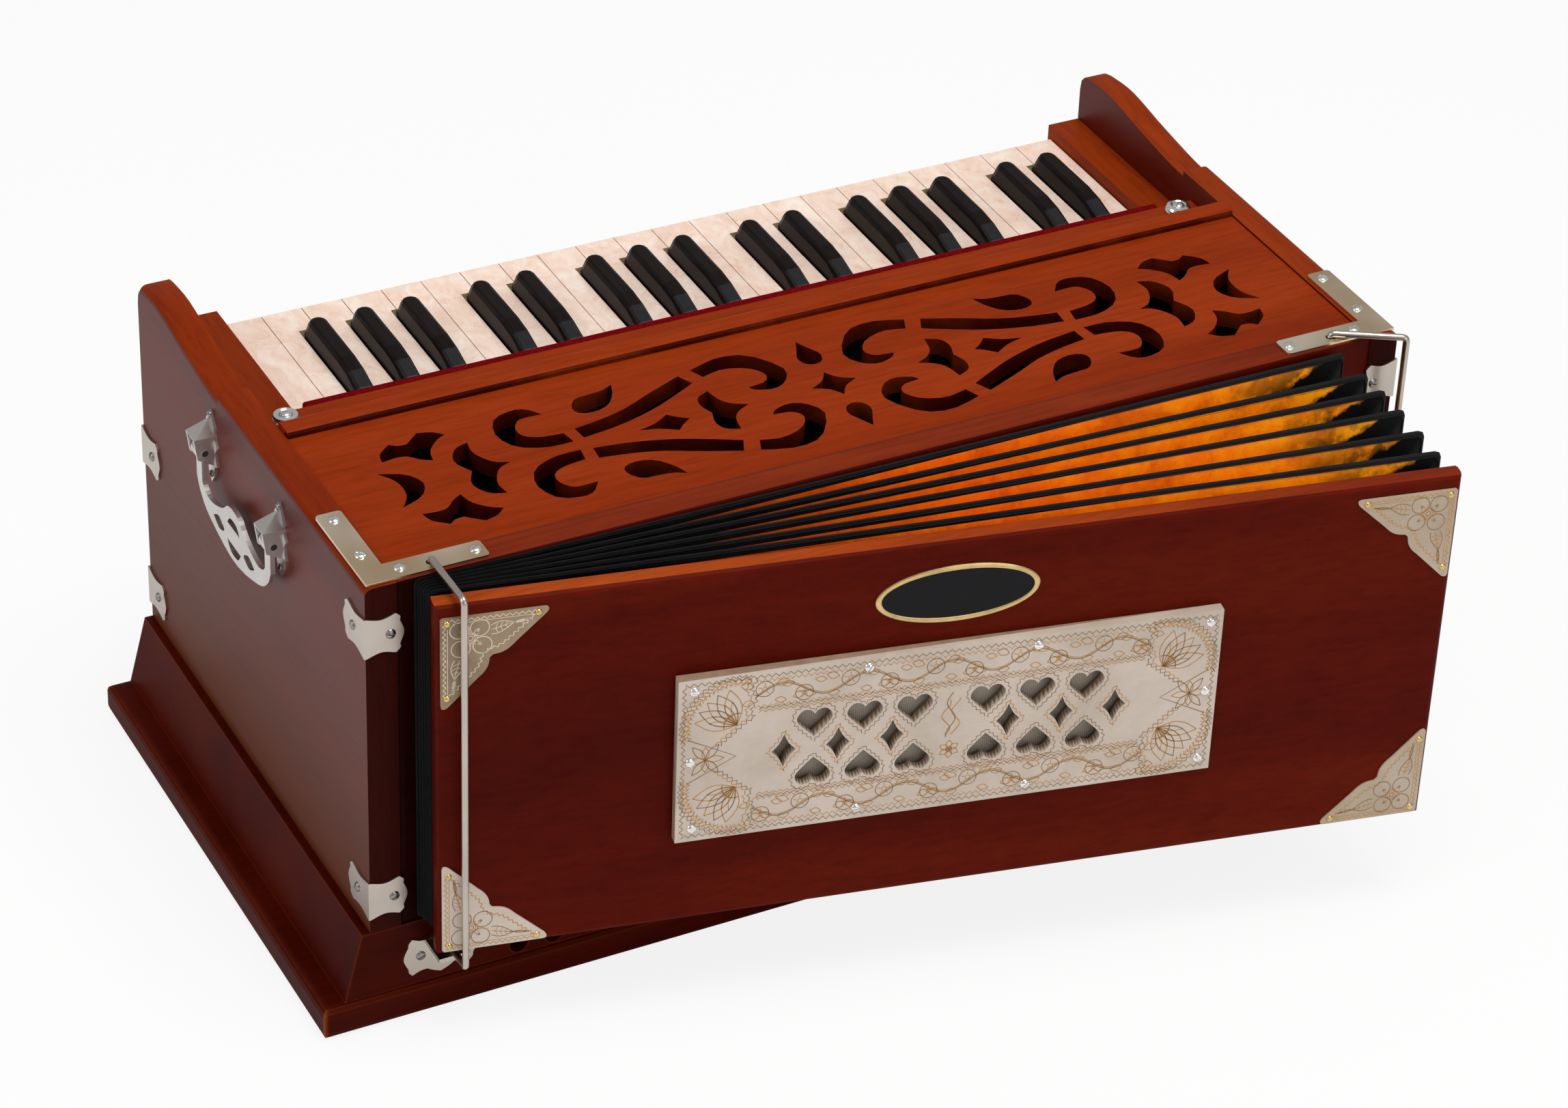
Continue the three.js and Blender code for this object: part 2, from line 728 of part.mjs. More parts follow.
// A black key: its sides lean in, its top is rounded, falls towards the felt and ends in a curve.
function blackKey(at) {
  const x = blackX(at);
  const half = blackWidth / 2;
  const points = [];
  const pair = (width, y, z) => points.push([x - width, y, z], [x + width, y, z]);
  const nose = (width, end, z) => blackEndShares.forEach((share) =>
    pair(width * Math.sqrt(1 - share * share), end - width * (1 - share), z));
  for (const z of [keyBottom, whiteTop]) nose(half, blackEnd, z);
  for (const z of [keyBottom, whiteTop - blackLeverDrop]) pair(half, blackStart, z);
  for (const [wide, down, back] of blackLevelShares) {
    nose(half * wide, blackEnd - blackTaper * back, blackTop - blackRound * down);
    for (const [along, fall] of blackFallShares) {
      pair(half * wide, blackFlatStart - blackSlopeLength * along,
        blackTop - blackRound * down - blackRearDrop * fall);
    }
  }
  const lever = block(x - half, x + half, keyTail, blackStart + overrun, keyBottom,
    whiteTop - blackLeverDrop);
  return wasm.Manifold.hull(points).add(lever);
}

// Fretwork in the cover. Outlines are shares of half the pattern's length and half its depth.
const centreDiamond = [[0, 0.244],
  [[0.019, 0.093], [0.051, 0]],
  [[0.019, -0.093], [0, -0.244]],
  [[-0.019, -0.093], [-0.051, 0]],
  [[-0.019, 0.093], [0, 0.244]],
];
const teardrop = [[0, 0.922],
  [[0.013, 0.767], [0.026, 0.611], [0.019, 0.478], [0, 0.433],
    [-0.019, 0.478], [-0.026, 0.611], [-0.013, 0.767], [0, 0.922]],
];
const nearSpade = [[0.25, 0.411],
  [[0.279, 0.333], [0.287, 0.178], [0.277, 0]],
  [[0.287, -0.178], [0.279, -0.333], [0.25, -0.411]],
  [[0.242, -0.2], [0.223, -0.078], [0.194, 0]],
  [[0.223, 0.078], [0.242, 0.2], [0.25, 0.411]],
];
const kite = [[0.44, 0],
  [[0.4, 0.058], [0.365, 0.167]],
  [[0.346, 0.067], [0.327, 0]],
  [[0.346, -0.067], [0.365, -0.167]],
  [[0.4, -0.058], [0.44, 0]],
];
const farSpade = [[0.773, 0.527],
  [[0.806, 0.456], [0.825, 0.233], [0.806, 0]],
  [[0.825, -0.233], [0.806, -0.456], [0.773, -0.527]],
  [[0.777, -0.311], [0.754, -0.078], [0.723, 0]],
  [[0.754, 0.078], [0.777, 0.311], [0.773, 0.527]],
];
const crescent = [[0.981, 0.344],
  [[0.931, 0.222], [0.91, 0], [0.931, -0.222], [0.981, -0.344]],
  [[0.96, -0.178], [0.954, 0], [0.96, 0.178], [0.981, 0.344]],
];
const nearScroll = [[0.248, 0.867],
  [[0.177, 0.978], [0.115, 0.889], [0.069, 0.511], [0.085, 0.267],
    [0.119, 0.167], [0.156, 0.222], [0.167, 0.3]],
  [[0.127, 0.333], [0.113, 0.467], [0.135, 0.644], [0.185, 0.744], [0.235, 0.689]],
  [[0.248, 0.867]],
];
const bar = [[0.556, 0.311],
  [[0.492, 0.367], [0.427, 0.467], [0.365, 0.622], [0.281, 0.811]],
  [[0.265, 0.622]],
  [[0.325, 0.456], [0.385, 0.311], [0.469, 0.178], [0.552, 0.111]],
  [[0.556, 0.311]],
];
const paisley = [[0.419, 0.956],
  [[0.444, 0.889], [0.477, 0.867], [0.51, 0.844], [0.529, 0.689], [0.521, 0.567],
    [0.49, 0.533], [0.456, 0.6], [0.431, 0.778], [0.419, 0.956]],
];
const farScroll = [[0.594, 0.711],
  [[0.615, 0.867], [0.644, 0.911], [0.69, 0.822], [0.71, 0.533],
    [0.69, 0.244], [0.635, 0.1], [0.577, 0.089]],
  [[0.583, 0.278]],
  [[0.631, 0.311], [0.66, 0.4], [0.665, 0.556], [0.648, 0.7], [0.623, 0.722], [0.594, 0.711]],
];
const bird = [[0.956, 0.533],
  [[0.948, 0.689], [0.919, 0.822]],
  [[0.904, 0.764], [0.885, 0.756]],
  [[0.871, 0.822], [0.852, 0.911]],
  [[0.823, 0.867], [0.802, 0.767]],
  [[0.827, 0.689], [0.852, 0.533], [0.86, 0.356]],
  [[0.881, 0.422], [0.902, 0.533], [0.925, 0.556], [0.956, 0.533]],
];
const fretOnce = [centreDiamond];
const fretUpDown = [teardrop];
const fretLeftRight = [nearSpade, kite, farSpade, crescent];
const fretAllFour = [nearScroll, bar, paisley, farScroll, bird];

function fretHoles() {
  const holes = [];
  const place = (outlines, signsX, signsY) => {
    for (const outline of outlines) {
      for (const signX of signsX) {
        for (const signY of signsY) {
          holes.push(curved(outline, signX * fretHalfLength, signY * fretHalfDepth,
            fretCentreX, fretCentreY));
        }
      }
    }
  };
  place(fretOnce, [1], [1]);
  place(fretUpDown, [1], [1, -1]);
  place(fretLeftRight, [1, -1], [1]);
  place(fretAllFour, [1, -1], [1, -1]);
  return holes;
}

// A screw with a domed, slotted head in a cup washer
function cupWasher(x) {
  const low = noseTop - seat;
  const profile = [[0, 0], [cupRadius, 0], [cupRadius, cupHeight / 3], [cupRadius * 0.72, cupHeight * 0.7],
    [cupRadius * 0.55, cupHeight * 0.7], [cupRadius * 0.4, cupHeight], [0, cupHeight * 1.1],
  ].map(([r, h]) => new THREE.Vector2(r, h));
  const geometry = new THREE.LatheGeometry(profile, 16);
  geometry.rotateX(Math.PI / 2);
  geometry.translate(x, cupY, low);
  return toSolid(geometry);
}

// The cover: fretwork board, moulding bar and the lower nose board that holds the felt
function topCover() {
  const x0 = panelThickness + turnedGap;
  const x1 = caseLength - x0;
  const low = noseTop - noseThickness;
  const r = coverBarRound;
  const side = polygon([
    [wallBack + seat, coverTop - coverThickness], [coverBarStart, coverTop - coverThickness],
    [coverBarStart, low], [noseEnd, low], [noseEnd, noseTop], [coverBarEnd, noseTop],
    [coverBarEnd, coverBarTop - r], [coverBarEnd - r / 3, coverBarTop - r / 3],
    [coverBarEnd - r, coverBarTop], [coverBarStart + r, coverBarTop],
    [coverBarStart + r / 3, coverBarTop - r / 3], [coverBarStart, coverBarTop - r],
    [coverBarStart, coverTop], [wallBack + seat, coverTop],
  ]);
  const board = alongX(side, x0, x1);
  const holes = fretHoles().map((shape) =>
    raise(shape, coverTop - coverThickness - overrun, coverTop + overrun, { curveSegments: 2 }));
  return join([cut(board, holes), cupWasher(cupInset), cupWasher(caseLength - cupInset)]);
}

const feltStrip = () => block(keyboardLeft, keyboardRight, noseEnd + turnedGap,
  noseEnd + turnedGap + feltWidth, feltBottom, feltTop);

// L-shaped plate on the top frame. The latch wire turns in its hole.
function topBracket() {
  const a = bracketInset;
  const w = a + bracketWidth;
  const end = a + bracketArm;
  const c = bracketEndCut;
  const plan = polygon([
    [a, a], [end - c, a], [end - c / 3, a + c / 3], [end, a + c], [end, w - c], [end - c / 3, w - c / 3],
    [end - c, w], [w, w], [w, end - c], [w - c / 3, end - c / 3], [w - c, end],
    [a + c, end], [a + c / 3, end - c / 3], [a, end - c],
  ]);
  const z0 = caseTop + seat;
  return cut(raise(plan, z0, z0 + bracketThickness), [
    rodAlongZ(latchHoleRadius, latchX, latchY, z0 - overrun, z0 + bracketThickness + overrun, 12)]);
}

// A round wire bent in one upright plane. Points are distances forward and heights.
function bentWire(points, radius, sides) {
  const rings = points.length;
  const positions = [];
  const index = [];
  points.forEach((point, i) => {
    const before = points[Math.max(0, i - 1)];
    const after = points[Math.min(rings - 1, i + 1)];
    const along = new THREE.Vector2(after[0] - before[0], after[1] - before[1]).normalize();
    for (let k = 0; k < sides; k += 1) {
      const turn = 2 * Math.PI * (k + 1 / 2) / sides;
      const out = radius * Math.cos(turn);
      positions.push(radius * Math.sin(turn), point[0] - out * along.y, point[1] + out * along.x);
    }
  });
  for (let i = 0; i < rings - 1; i += 1) {
    for (let k = 0; k < sides; k += 1) {
      const a = i * sides + k;
      const b = i * sides + (k + 1) % sides;
      index.push(a, b, a + sides, b, b + sides, a + sides);
    }
  }
  for (let k = 1; k < sides - 1; k += 1) {
    index.push(0, k + 1, k);
    const last = (rings - 1) * sides;
    index.push(last, last + k, last + k + 1);
  }
  const geometry = new THREE.BufferGeometry();
  geometry.setAttribute('position', new THREE.BufferAttribute(new Float32Array(positions), 3));
  geometry.setIndex(index);
  return toSolid(geometry);
}

// Points of a quarter bend from one straight run to the next
function bend(from, corner, to, radius, steps = 3) {
  const toward = (p, q) => new THREE.Vector2(q[0] - p[0], q[1] - p[1]).normalize().multiplyScalar(radius);
  const start = new THREE.Vector2(...corner).add(toward(corner, from));
  const end = new THREE.Vector2(...corner).add(toward(corner, to));
  const curve = new THREE.QuadraticBezierCurve(start, new THREE.Vector2(...corner), end);
  return curve.getPoints(steps).map((p) => [p.x, p.y]);
}

// Latch wire in its own frame: it turns about an upright line through its hole.
function latchWire() {
  const low = [0, caseTop - wireHoleDepth];
  const top = [0, wireTopZ - wireRadius];
  const out = [-wireReach, wireTopZ - wireRadius];
  const foot = [-wireReach, wireFootZ];
  const tip = [-wireReach + wireFootLength, wireFootZ];
  return bentWire([
    low, ...bend(low, top, out, wireBend), ...bend(top, out, foot, wireBend),
    ...bend(out, foot, tip, wireBend), tip,
  ], wireRadius, wireSides);
}

// Bail outline as shares of half its span and its drop, from the middle of its two pins
const bailShares = [[-1.08, 0],
  [[-1.08, -0.423]],
  [[-0.98, -0.625], [-0.71, -0.827], [0, -1], [0.71, -0.827], [0.98, -0.625], [1.08, -0.423]],
  [[1.08, 0]], [[0.92, 0]], [[0.92, -0.423]],
  [[0.86, -0.502], [0.71, -0.553], [0.5, -0.502], [0.3, -0.401], [0.16, -0.271], [0, -0.235],
    [-0.16, -0.271], [-0.3, -0.401], [-0.5, -0.502], [-0.71, -0.553], [-0.86, -0.502], [-0.92, -0.423]],
  [[-0.92, 0]], [[-1.08, 0]],
];
const bailHoleShares = [
  [[-0.6, -0.697], [[-0.44, -0.791], [-0.28, -0.711], [-0.44, -0.61], [-0.6, -0.697]]],
  [[0.6, -0.697], [[0.44, -0.791], [0.28, -0.711], [0.44, -0.61], [0.6, -0.697]]],
  [[-0.18, -0.517], [[-0.09, -0.408], [0.09, -0.408], [0.18, -0.517]], [[-0.18, -0.517]]],
  [[-0.2, -0.769], [[-0.1, -0.899], [0.1, -0.899], [0.2, -0.769]], [[-0.2, -0.769]]],
];

// A flat bail with an eye on each arm, in its own frame: it turns about its pins. Swung up, its
// arms come to rest against the eaves of the two roofs.
function bail() {
  const half = handleSpan / 2;
  const flat = curved(bailShares, half, bailDrop);
  flat.holes = bailHoleShares.map((hole) => curved(hole, half, bailDrop));
  const plateBody = alongX(flat, -bailThickness / 2, bailThickness / 2, { curveSegments: 3 });
  const ends = [-half, half].map((y) =>
    rodAlongY(eyeRadius, 0, 0, y - eyeWidth / 2, y + eyeWidth / 2, 16));
  const bores = [-half, half].map((y) =>
    rodAlongY(pinRadius + pinClearance, 0, 0, y - eyeWidth, y + eyeWidth, 16));
  return cut(join([plateBody, ...ends]), bores);
}

// Pump board in its own frame: x runs along the board from the hinge line, y from its plates'
// faces back towards the bellows.

const pumpLeft = -pumpOverhang;
const pumpRight = pumpLeft + pumpLength;
const pumpFace = cornerThickness;
const pumpBack = pumpFace + pumpThickness;

// Engraved corner plate: two blunt tips and a long side of two arcs with a notch between
const cornerShares = [[0.02, 0],
  [[0.965, 0]],
  [[0.995, 0.01], [1, 0.035], [0.985, 0.065]],
  [[0.7, 0.34]],
  [[0.64, 0.4], [0.57, 0.44], [0.485, 0.455]],
  [[0.455, 0.485]],
  [[0.44, 0.57], [0.4, 0.64], [0.34, 0.7]],
  [[0.065, 0.985]],
  [[0.035, 1], [0.01, 0.995], [0, 0.965]],
  [[0, 0.02]],
  [[0.02, 0]],
];

function cornerPlates() {
  const plates = [];
  for (const [x, sx] of [[pumpLeft + cornerMarginX, 1], [pumpRight - cornerMarginX, -1]]) {
    for (const [z, sz] of [[pumpBottom + cornerMarginBottom, 1], [pumpTop - cornerMarginTop, -1]]) {
      plates.push(alongY(curved(cornerShares, sx * cornerLeg, sz * cornerLeg, x, z), 0, pumpFace + seat,
        { curveSegments: 2 }));
    }
  }
  return plates;
}

function pumpBoard() {
  const r = pumpRound;
  const face = polygon([
    [pumpLeft + r, pumpBottom + r], [pumpRight - r, pumpBottom + r],
    [pumpRight - r, pumpTop - r], [pumpLeft + r, pumpTop - r],
  ]);
  const shell = alongY(face, pumpFace + pumpRoundDepth, pumpBack - pumpRoundDepth,
    { bevelEnabled: true, bevelThickness: pumpRoundDepth, bevelSize: r, bevelSegments: 3 });
  const middle = pumpLeft + grilleCentreX;
  const pocket = block(middle - pocketLength / 2, middle + pocketLength / 2, pumpFace - overrun,
    pumpFace + pocketDepth, grilleCentreZ - pocketHeight / 2, grilleCentreZ + pocketHeight / 2);
  const intakes = [];
  for (let i = 0; i < intakeCount; i += 1) {
    const x = middle + (i - (intakeCount - 1) / 2) * intakePitch;
    intakes.push(rodAlongY(intakeRadius, x, grilleCentreZ, pumpFace - overrun, pumpBack + overrun, 12));
  }
  return cut(join([shell, ...cornerPlates()]), [pocket, ...intakes]);
}

const heartShares = [[0, -1],
  [[0.5, -0.45], [0.93, 0.1], [0.94, 0.55], [0.6, 0.95], [0.2, 0.88], [0, 0.62]],
  [[-0.2, 0.88], [-0.6, 0.95], [-0.94, 0.55], [-0.93, 0.1], [-0.5, -0.45], [0, -1]],
];
const diamondShares = [[0, -1], [[0.42, -0.42], [1, 0]], [[0.42, 0.42], [0, 1]],
  [[-0.42, 0.42], [-1, 0]], [[-0.42, -0.42], [0, -1]]];

function grillePlate() {
  const middle = pumpLeft + grilleCentreX;
  const y1 = pumpFace - seat;
  const y0 = y1 - grilleThickness;
  const body = block(middle - grilleLength / 2, middle + grilleLength / 2, y0, y1,
    grilleCentreZ - grilleHeight / 2, grilleCentreZ + grilleHeight / 2);
  const holes = [];
  const row = grilleCentreZ - heartDrop;
  const through = (shape) => alongY(shape, y0 - overrun, y1 + overrun, { curveSegments: 2 });
  for (const side of [-1, 1]) {
    for (let i = 0; i < 3; i += 1) {
      const x = middle + side * (heartFirst + i * heartPitch);
      holes.push(through(curved(heartShares, heartWidth / 2, heartHeight / 2, x, row + grilleRows)));
      holes.push(through(curved(heartShares, heartWidth / 2, -heartHeight / 2, x, row - grilleRows)));
      const place = middle + side * (diamondFirst + i * diamondPitch);
      holes.push(through(curved(diamondShares, diamondWidth / 2, diamondHeight / 2, place, row)));
    }
  }
  return cut(body, holes);
}

// Bellows: rectangles from the wall to the pump board, each turned a share of the opening about
// the hinge line. Ridges are the large rectangles and valleys the small ones.

function bellowsStations() {
  const pitch = 1 / ridgeCount;
  const stations = [{ share: 0, inset: bellowsEndInset + foldDepth / 4 }];
  for (let i = 0; i < ridgeCount; i += 1) {
    const middle = (i + 1 / 2) * pitch;
    stations.push({ share: middle - ridgeShare * pitch / 2, inset: 0 });
    stations.push({ share: middle + ridgeShare * pitch / 2, inset: 0 });
    if (i < ridgeCount - 1) stations.push({ share: (i + 1) * pitch, inset: foldDepth });
  }
  stations.push({ share: 1, inset: bellowsEndInset + foldDepth / 4 });
  return stations;
}

function bellowsLoop(inset, corner) {
  const x0 = latchX + pumpLeft + inset;
  const x1 = latchX + pumpRight - inset;
  const z0 = bellowsBottom + inset;
  const z1 = bellowsTop - inset;
  const places = Array.from({ length: bellowsSpans + 1 },
    (_, i) => x0 + corner + (x1 - x0 - 2 * corner) * i / bellowsSpans);
  return [
    ...places.map((x) => [x, z0]), [x1, z0 + corner], [x1, z1 - corner],
    ...places.map((x) => [x, z1]).reverse(), [x0, z1 - corner], [x0, z0 + corner],
  ];
}

function bellows() {
  const stations = bellowsStations();
  const positions = [];
  const index = [];
  const count = bellowsLoop(0, bellowsCorner).length;
  const place = ([x, z], share) => {
    const y = wallFace - turnedGap - share * (closedStack + wallFace - 2 * turnedGap);
    const turn = -share * openAngle * Math.PI / 180;
    const dx = x - latchX;
    const dy = y - hingeY;
    positions.push(latchX + dx * Math.cos(turn) - dy * Math.sin(turn),
      hingeY + dx * Math.sin(turn) + dy * Math.cos(turn), z);
  };
  for (const { share, inset } of stations) {
    bellowsLoop(inset, bellowsCorner).forEach((point) => place(point, share));
    bellowsLoop(inset + bellowsWall, bellowsCorner).forEach((point) => place(point, share));
  }
  const row = 2 * count;
  const quad = (a, b, c, d) => index.push(a, c, b, a, d, c);
  for (let k = 0; k < count; k += 1) {
    const n = (k + 1) % count;
    for (let i = 0; i < stations.length - 1; i += 1) {
      quad(i * row + k, (i + 1) * row + k, (i + 1) * row + n, i * row + n);
      const inner = i * row + count;
      quad(inner + k, inner + n, inner + row + n, inner + row + k);
    }
    const last = (stations.length - 1) * row;
    quad(k, n, count + n, count + k);
    quad(last + n, last + k, last + count + k, last + count + n);
  }
  const geometry = new THREE.BufferGeometry();
  geometry.setAttribute('position', new THREE.BufferAttribute(new Float32Array(positions), 3));
  geometry.setIndex(index);
  return toSolid(geometry);
}

// Assembly

function pivoted(x, y, z, turnDegrees = 0) {
  const group = new THREE.Group();
  group.position.set(x, y, z);
  group.rotation.z = turnDegrees * Math.PI / 180;
  root.add(group);
  return group;
}

add('base_board', baseBoard(), wood);
add('plinth', plinth(), wood);
add('left_end_panel', endPanel(leftBlockWidth), wood);
add('right_end_panel', mirrorX(endPanel(rightBlockWidth), caseLength / 2), wood);
add('bellows_wall', bellowsWallBoard(), wood);
add('stop_board', stopBoard(), wood);
add('reed_deck', reedDeck(), paleWood);
add('reed_bank', reedBank(), paleWood);
add('reservoir', reservoir(), leather);
add('top_cover', topCover(), coverWood);
add('felt_strip', feltStrip(), feltRed);
add('left_corner_bracket', topBracket(), plate);
add('right_corner_bracket', mirrorX(topBracket(), caseLength / 2), plate);

const pump = pivoted(latchX, hingeY, 0, -openAngle);
add('pump_board', pumpBoard(), wood, pump);
add('grille_plate', grillePlate(), engraved, pump);
add('bellows', bellows(), leather);

add('left_latch_wire', latchWire(), plate, pivoted(latchX, latchY, 0));
add('right_latch_wire', latchWire(), plate, pivoted(caseLength - latchX, latchY, 0, rightSwingAngle));
add('left_handle', bail(), plate, pivoted(-handleOut, handleY, handleZ));
add('right_handle', bail(), plate, pivoted(caseLength + handleOut, handleY, handleZ));

knobPlaces.forEach((x, i) => add(`stop_knob_${i + 1}`, stopKnob(), ebony, pivoted(x, 0, knobZ)));

keyList().forEach((key, i) => {
  const name = `key_${String(i + 1).padStart(2, '0')}`;
  add(name, key.black ? blackKey(key.at) : whiteKey(key.at), key.black ? ebony : ivory);
});

export default root;
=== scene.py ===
import math

import bpy
import bmesh
from mathutils import Matrix, Vector


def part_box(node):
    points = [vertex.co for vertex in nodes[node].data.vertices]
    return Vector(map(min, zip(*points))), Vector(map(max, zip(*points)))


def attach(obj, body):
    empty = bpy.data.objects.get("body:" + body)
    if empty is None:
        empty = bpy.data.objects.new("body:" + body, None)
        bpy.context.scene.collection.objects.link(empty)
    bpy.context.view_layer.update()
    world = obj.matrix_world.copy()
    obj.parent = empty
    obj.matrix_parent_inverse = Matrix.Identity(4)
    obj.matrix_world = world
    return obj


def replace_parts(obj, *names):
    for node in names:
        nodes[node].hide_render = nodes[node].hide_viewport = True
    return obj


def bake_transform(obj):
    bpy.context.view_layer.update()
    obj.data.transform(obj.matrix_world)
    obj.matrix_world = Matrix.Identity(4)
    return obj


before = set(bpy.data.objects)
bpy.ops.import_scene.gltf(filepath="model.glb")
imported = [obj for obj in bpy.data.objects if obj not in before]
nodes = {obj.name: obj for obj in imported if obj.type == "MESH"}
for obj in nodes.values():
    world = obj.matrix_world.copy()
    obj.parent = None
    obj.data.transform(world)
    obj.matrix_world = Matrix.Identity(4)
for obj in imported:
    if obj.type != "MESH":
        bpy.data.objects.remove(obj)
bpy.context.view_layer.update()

# Sizes shared with the solids, in millimetres of the case's own frame:
# x from the left end, y from the bellows side, z from the ground.
CASE_LENGTH, CASE_DEPTH = 560.0, 292.0
END_BOARD = 16.0  # thickness of the end panels
HAIR = 0.05  # how far past a face a point has to be to count as outside
CATCH_PLATES_ABOVE = 21  # on the front of the plinth
# Pump board: hinge, opening at rest, left edge and length, depth of its face and middle
HINGE_X, HINGE_Y = 36.0, -26.8
OPEN = math.radians(11.4)
BOARD_LEFT, BOARD_LENGTH = -12.0, 503.5
BOARD_FACE, BOARD_MIDDLE = 0.8, 6.8
# Outer corner of each corner plate, and which way it goes from there
CORNER_PLATES = [(u, side, z, up) for u, side in ((2.4, 1), (BOARD_LENGTH - 2.4, -1))
                 for z, up in ((53.9, 1), (248.2, -1))]
# Grille: depth of its front, thickness of its sheet, middle, half sizes and the rows of hearts
GRILLE_FRONT, SHEET = BOARD_FACE - 5.7, 2.4
GRILLE_U, GRILLE_Z = 249.5, 151.2
GRILLE_HALF_U, GRILLE_HALF_Z = 135.0, 47.25
HEART_ROW, HEART_RISE = GRILLE_Z - 0.8, 14.2
# Keys: black ones reach above the first (in metres); wood shows below the covering, behind its front lip
BLACK_KEYS_ABOVE = 0.23
COVERING, KEY_FRONT = 222.4, 289
# Cover: where the fretwork lies, and the cups of the screws on its moulding
FRET_Y = (12, 140)
CUP_X, CUP_Y, CUP_Z = 28.5, 166, 243.55
LATCH_Y = 7.0
LATCH_OUT = math.radians(60)
# Handles: middle, half the distance of the pins, and the extent of the housing
HANDLE_Y, HANDLE_Z, HANDLE_HALF = 146.3, 222.0, 44.5
HOUSING_Y, HOUSING_Z, PIN_OUT = (90, 204), (199, 244), 5.7


def at(x, y, z):
    """A point of the case, in metres of the row frame."""
    return Vector(((x - CASE_LENGTH / 2) / 1000, (y - CASE_DEPTH / 2) / 1000, z / 1000))


BOARD = Matrix.Translation(at(HINGE_X, HINGE_Y, 0)) @ Matrix.Rotation(-OPEN, 4, "Z")


def on_board(u, z, out=0.0):
    """A point of the pump board: u from its left edge, out from the face of its corner plates."""
    return BOARD @ Vector(((u + BOARD_LEFT) / 1000, -out / 1000, z / 1000))


# Materials

WHITE, BLACK = (1, 1, 1), (0, 0, 0)


def material(name):
    made = bpy.data.materials.new(name)
    made.use_nodes = True
    return made, made.node_tree, shader_of(made)


def shader_of(made):
    return made.node_tree.nodes["Principled BSDF"]


def put(value, target):
    """Links a socket to an input, or sets a plain value there."""
    if isinstance(value, bpy.types.NodeSocket):
        target.id_data.links.new(value, target)
    else:
        target.default_value = (*value, 1) if target.type == "RGBA" and len(value) == 3 else value


def feed(made, **values):
    """Fills a node's inputs by name, with _ for each space."""
    for key, value in values.items():
        put(value, made.inputs[key.replace("_", " ")])


def node(tree, kind, **values):
    """A new node. Names with a capital are its inputs, the others its settings."""
    made = tree.nodes.new(kind)
    for key, value in values.items():
        if key[0].isupper():
            feed(made, **{key: value})
        else:
            setattr(made, key, value)
    return made


def coords(tree, scale=(1, 1, 1), rotation=(0, 0, 0)):
    source = node(tree, "ShaderNodeTexCoord").outputs["Object"]
    return node(tree, "ShaderNodeMapping", Vector=source, Scale=scale, Rotation=rotation).outputs["Vector"]


def axis(tree, name, kind="Object"):
    """One coordinate of a piece's own space or of its normal."""
    source = node(tree, "ShaderNodeTexCoord").outputs[kind]
    return node(tree, "ShaderNodeSeparateXYZ", Vector=source).outputs[name]


def ramp(tree, source, stops):
    made = node(tree, "ShaderNodeValToRGB", Fac=source)
    elements = made.color_ramp.elements
    while len(elements) < len(stops):
        elements.new(0.5)
    for element, (place, colour) in zip(elements, stops):
        element.position = place
        element.color = (*colour, 1)
    return made.outputs["Color"]


def blend_colours(tree, share, first, second, mode="MIX"):
    made = node(tree, "ShaderNodeMix", data_type="RGBA", blend_type=mode)
    for key, value in (("Factor", share), ("A", first), ("B", second)):
        put(value, [one for one in made.inputs if one.name == key and one.enabled][0])
    return [one for one in made.outputs if one.enabled][0]


def recolour(shader, share, colour, mode="MULTIPLY"):
    """Blends a colour with what already feeds the base colour."""
    base = shader.inputs["Base Color"]
    put(blend_colours(shader.id_data, share, base.links[0].from_socket, colour, mode), base)


def noise(tree, scale, detail, rough, distortion=0.0, stretch=(1, 1, 1), turn=(0, 0, 0)):
    return node(tree, "ShaderNodeTexNoise", Vector=coords(tree, stretch, turn), Scale=scale, Detail=detail,
                Roughness=rough, Distortion=distortion).outputs["Fac"]


def bump(shader, height, distance, strength):
    """Relief on a shader; distance in metres."""
    made = node(shader.id_data, "ShaderNodeBump", Height=height, Distance=distance, Strength=strength)
    feed(shader, Normal=made.outputs["Normal"])


def fit(tree, source, low, high, start=0.0, end=1.0):
    """Goes from low to high while the source goes from start to end."""
    return node(tree, "ShaderNodeMapRange", Value=source, To_Min=low, To_Max=high, From_Min=start,
                From_Max=end).outputs["Result"]


def calculate(tree, operation, *values):
    made = node(tree, "ShaderNodeMath", operation=operation)
    for value, target in zip(values, made.inputs):
        put(value, target)
    return made.outputs[0]


def mix_to(output, share, first, second):
    """Shows the first shader where the share is 0 and the second where it is 1."""
    mixed = node(output.id_data, "ShaderNodeMixShader")
    for value, target in zip((share, first.outputs[0], second.outputs[0]), mixed.inputs):
        put(value, target)
    feed(output, Surface=mixed.outputs[0])


def wood(name, tones, stretch):
    """Stained hardwood. stretch holds three scales; the smallest is along the grain."""
    made, tree, shader = material(name)
    dark, middle, light = tones
    broad = noise(tree, 14, 4, 0.5, 0.6, stretch)
    fine = noise(tree, 33.6, 6, 0.62, 0.2, [s * 9 for s in stretch])
    pores = noise(tree, 42, 3, 0.7, 0.0, [s * 20 for s in stretch])
    feed(shader, Base_Color=ramp(tree, broad, [(0.28, dark), (0.5, middle), (0.75, light)]),
         Roughness=fit(tree, fine, 0.34, 0.46), Specular_IOR_Level=0.03)
    recolour(shader, 0.6, ramp(tree, fine, [(0.3, (0.62, 0.58, 0.55)), (0.55, WHITE), (0.8, (1.1, 1.08, 1.05))]))
    recolour(shader, 0.35, ramp(tree, pores, [(0.33, (0.65, 0.6, 0.55)), (0.42, WHITE)]))
    bump(shader, fine, 0.00012, 0.35)
    return made


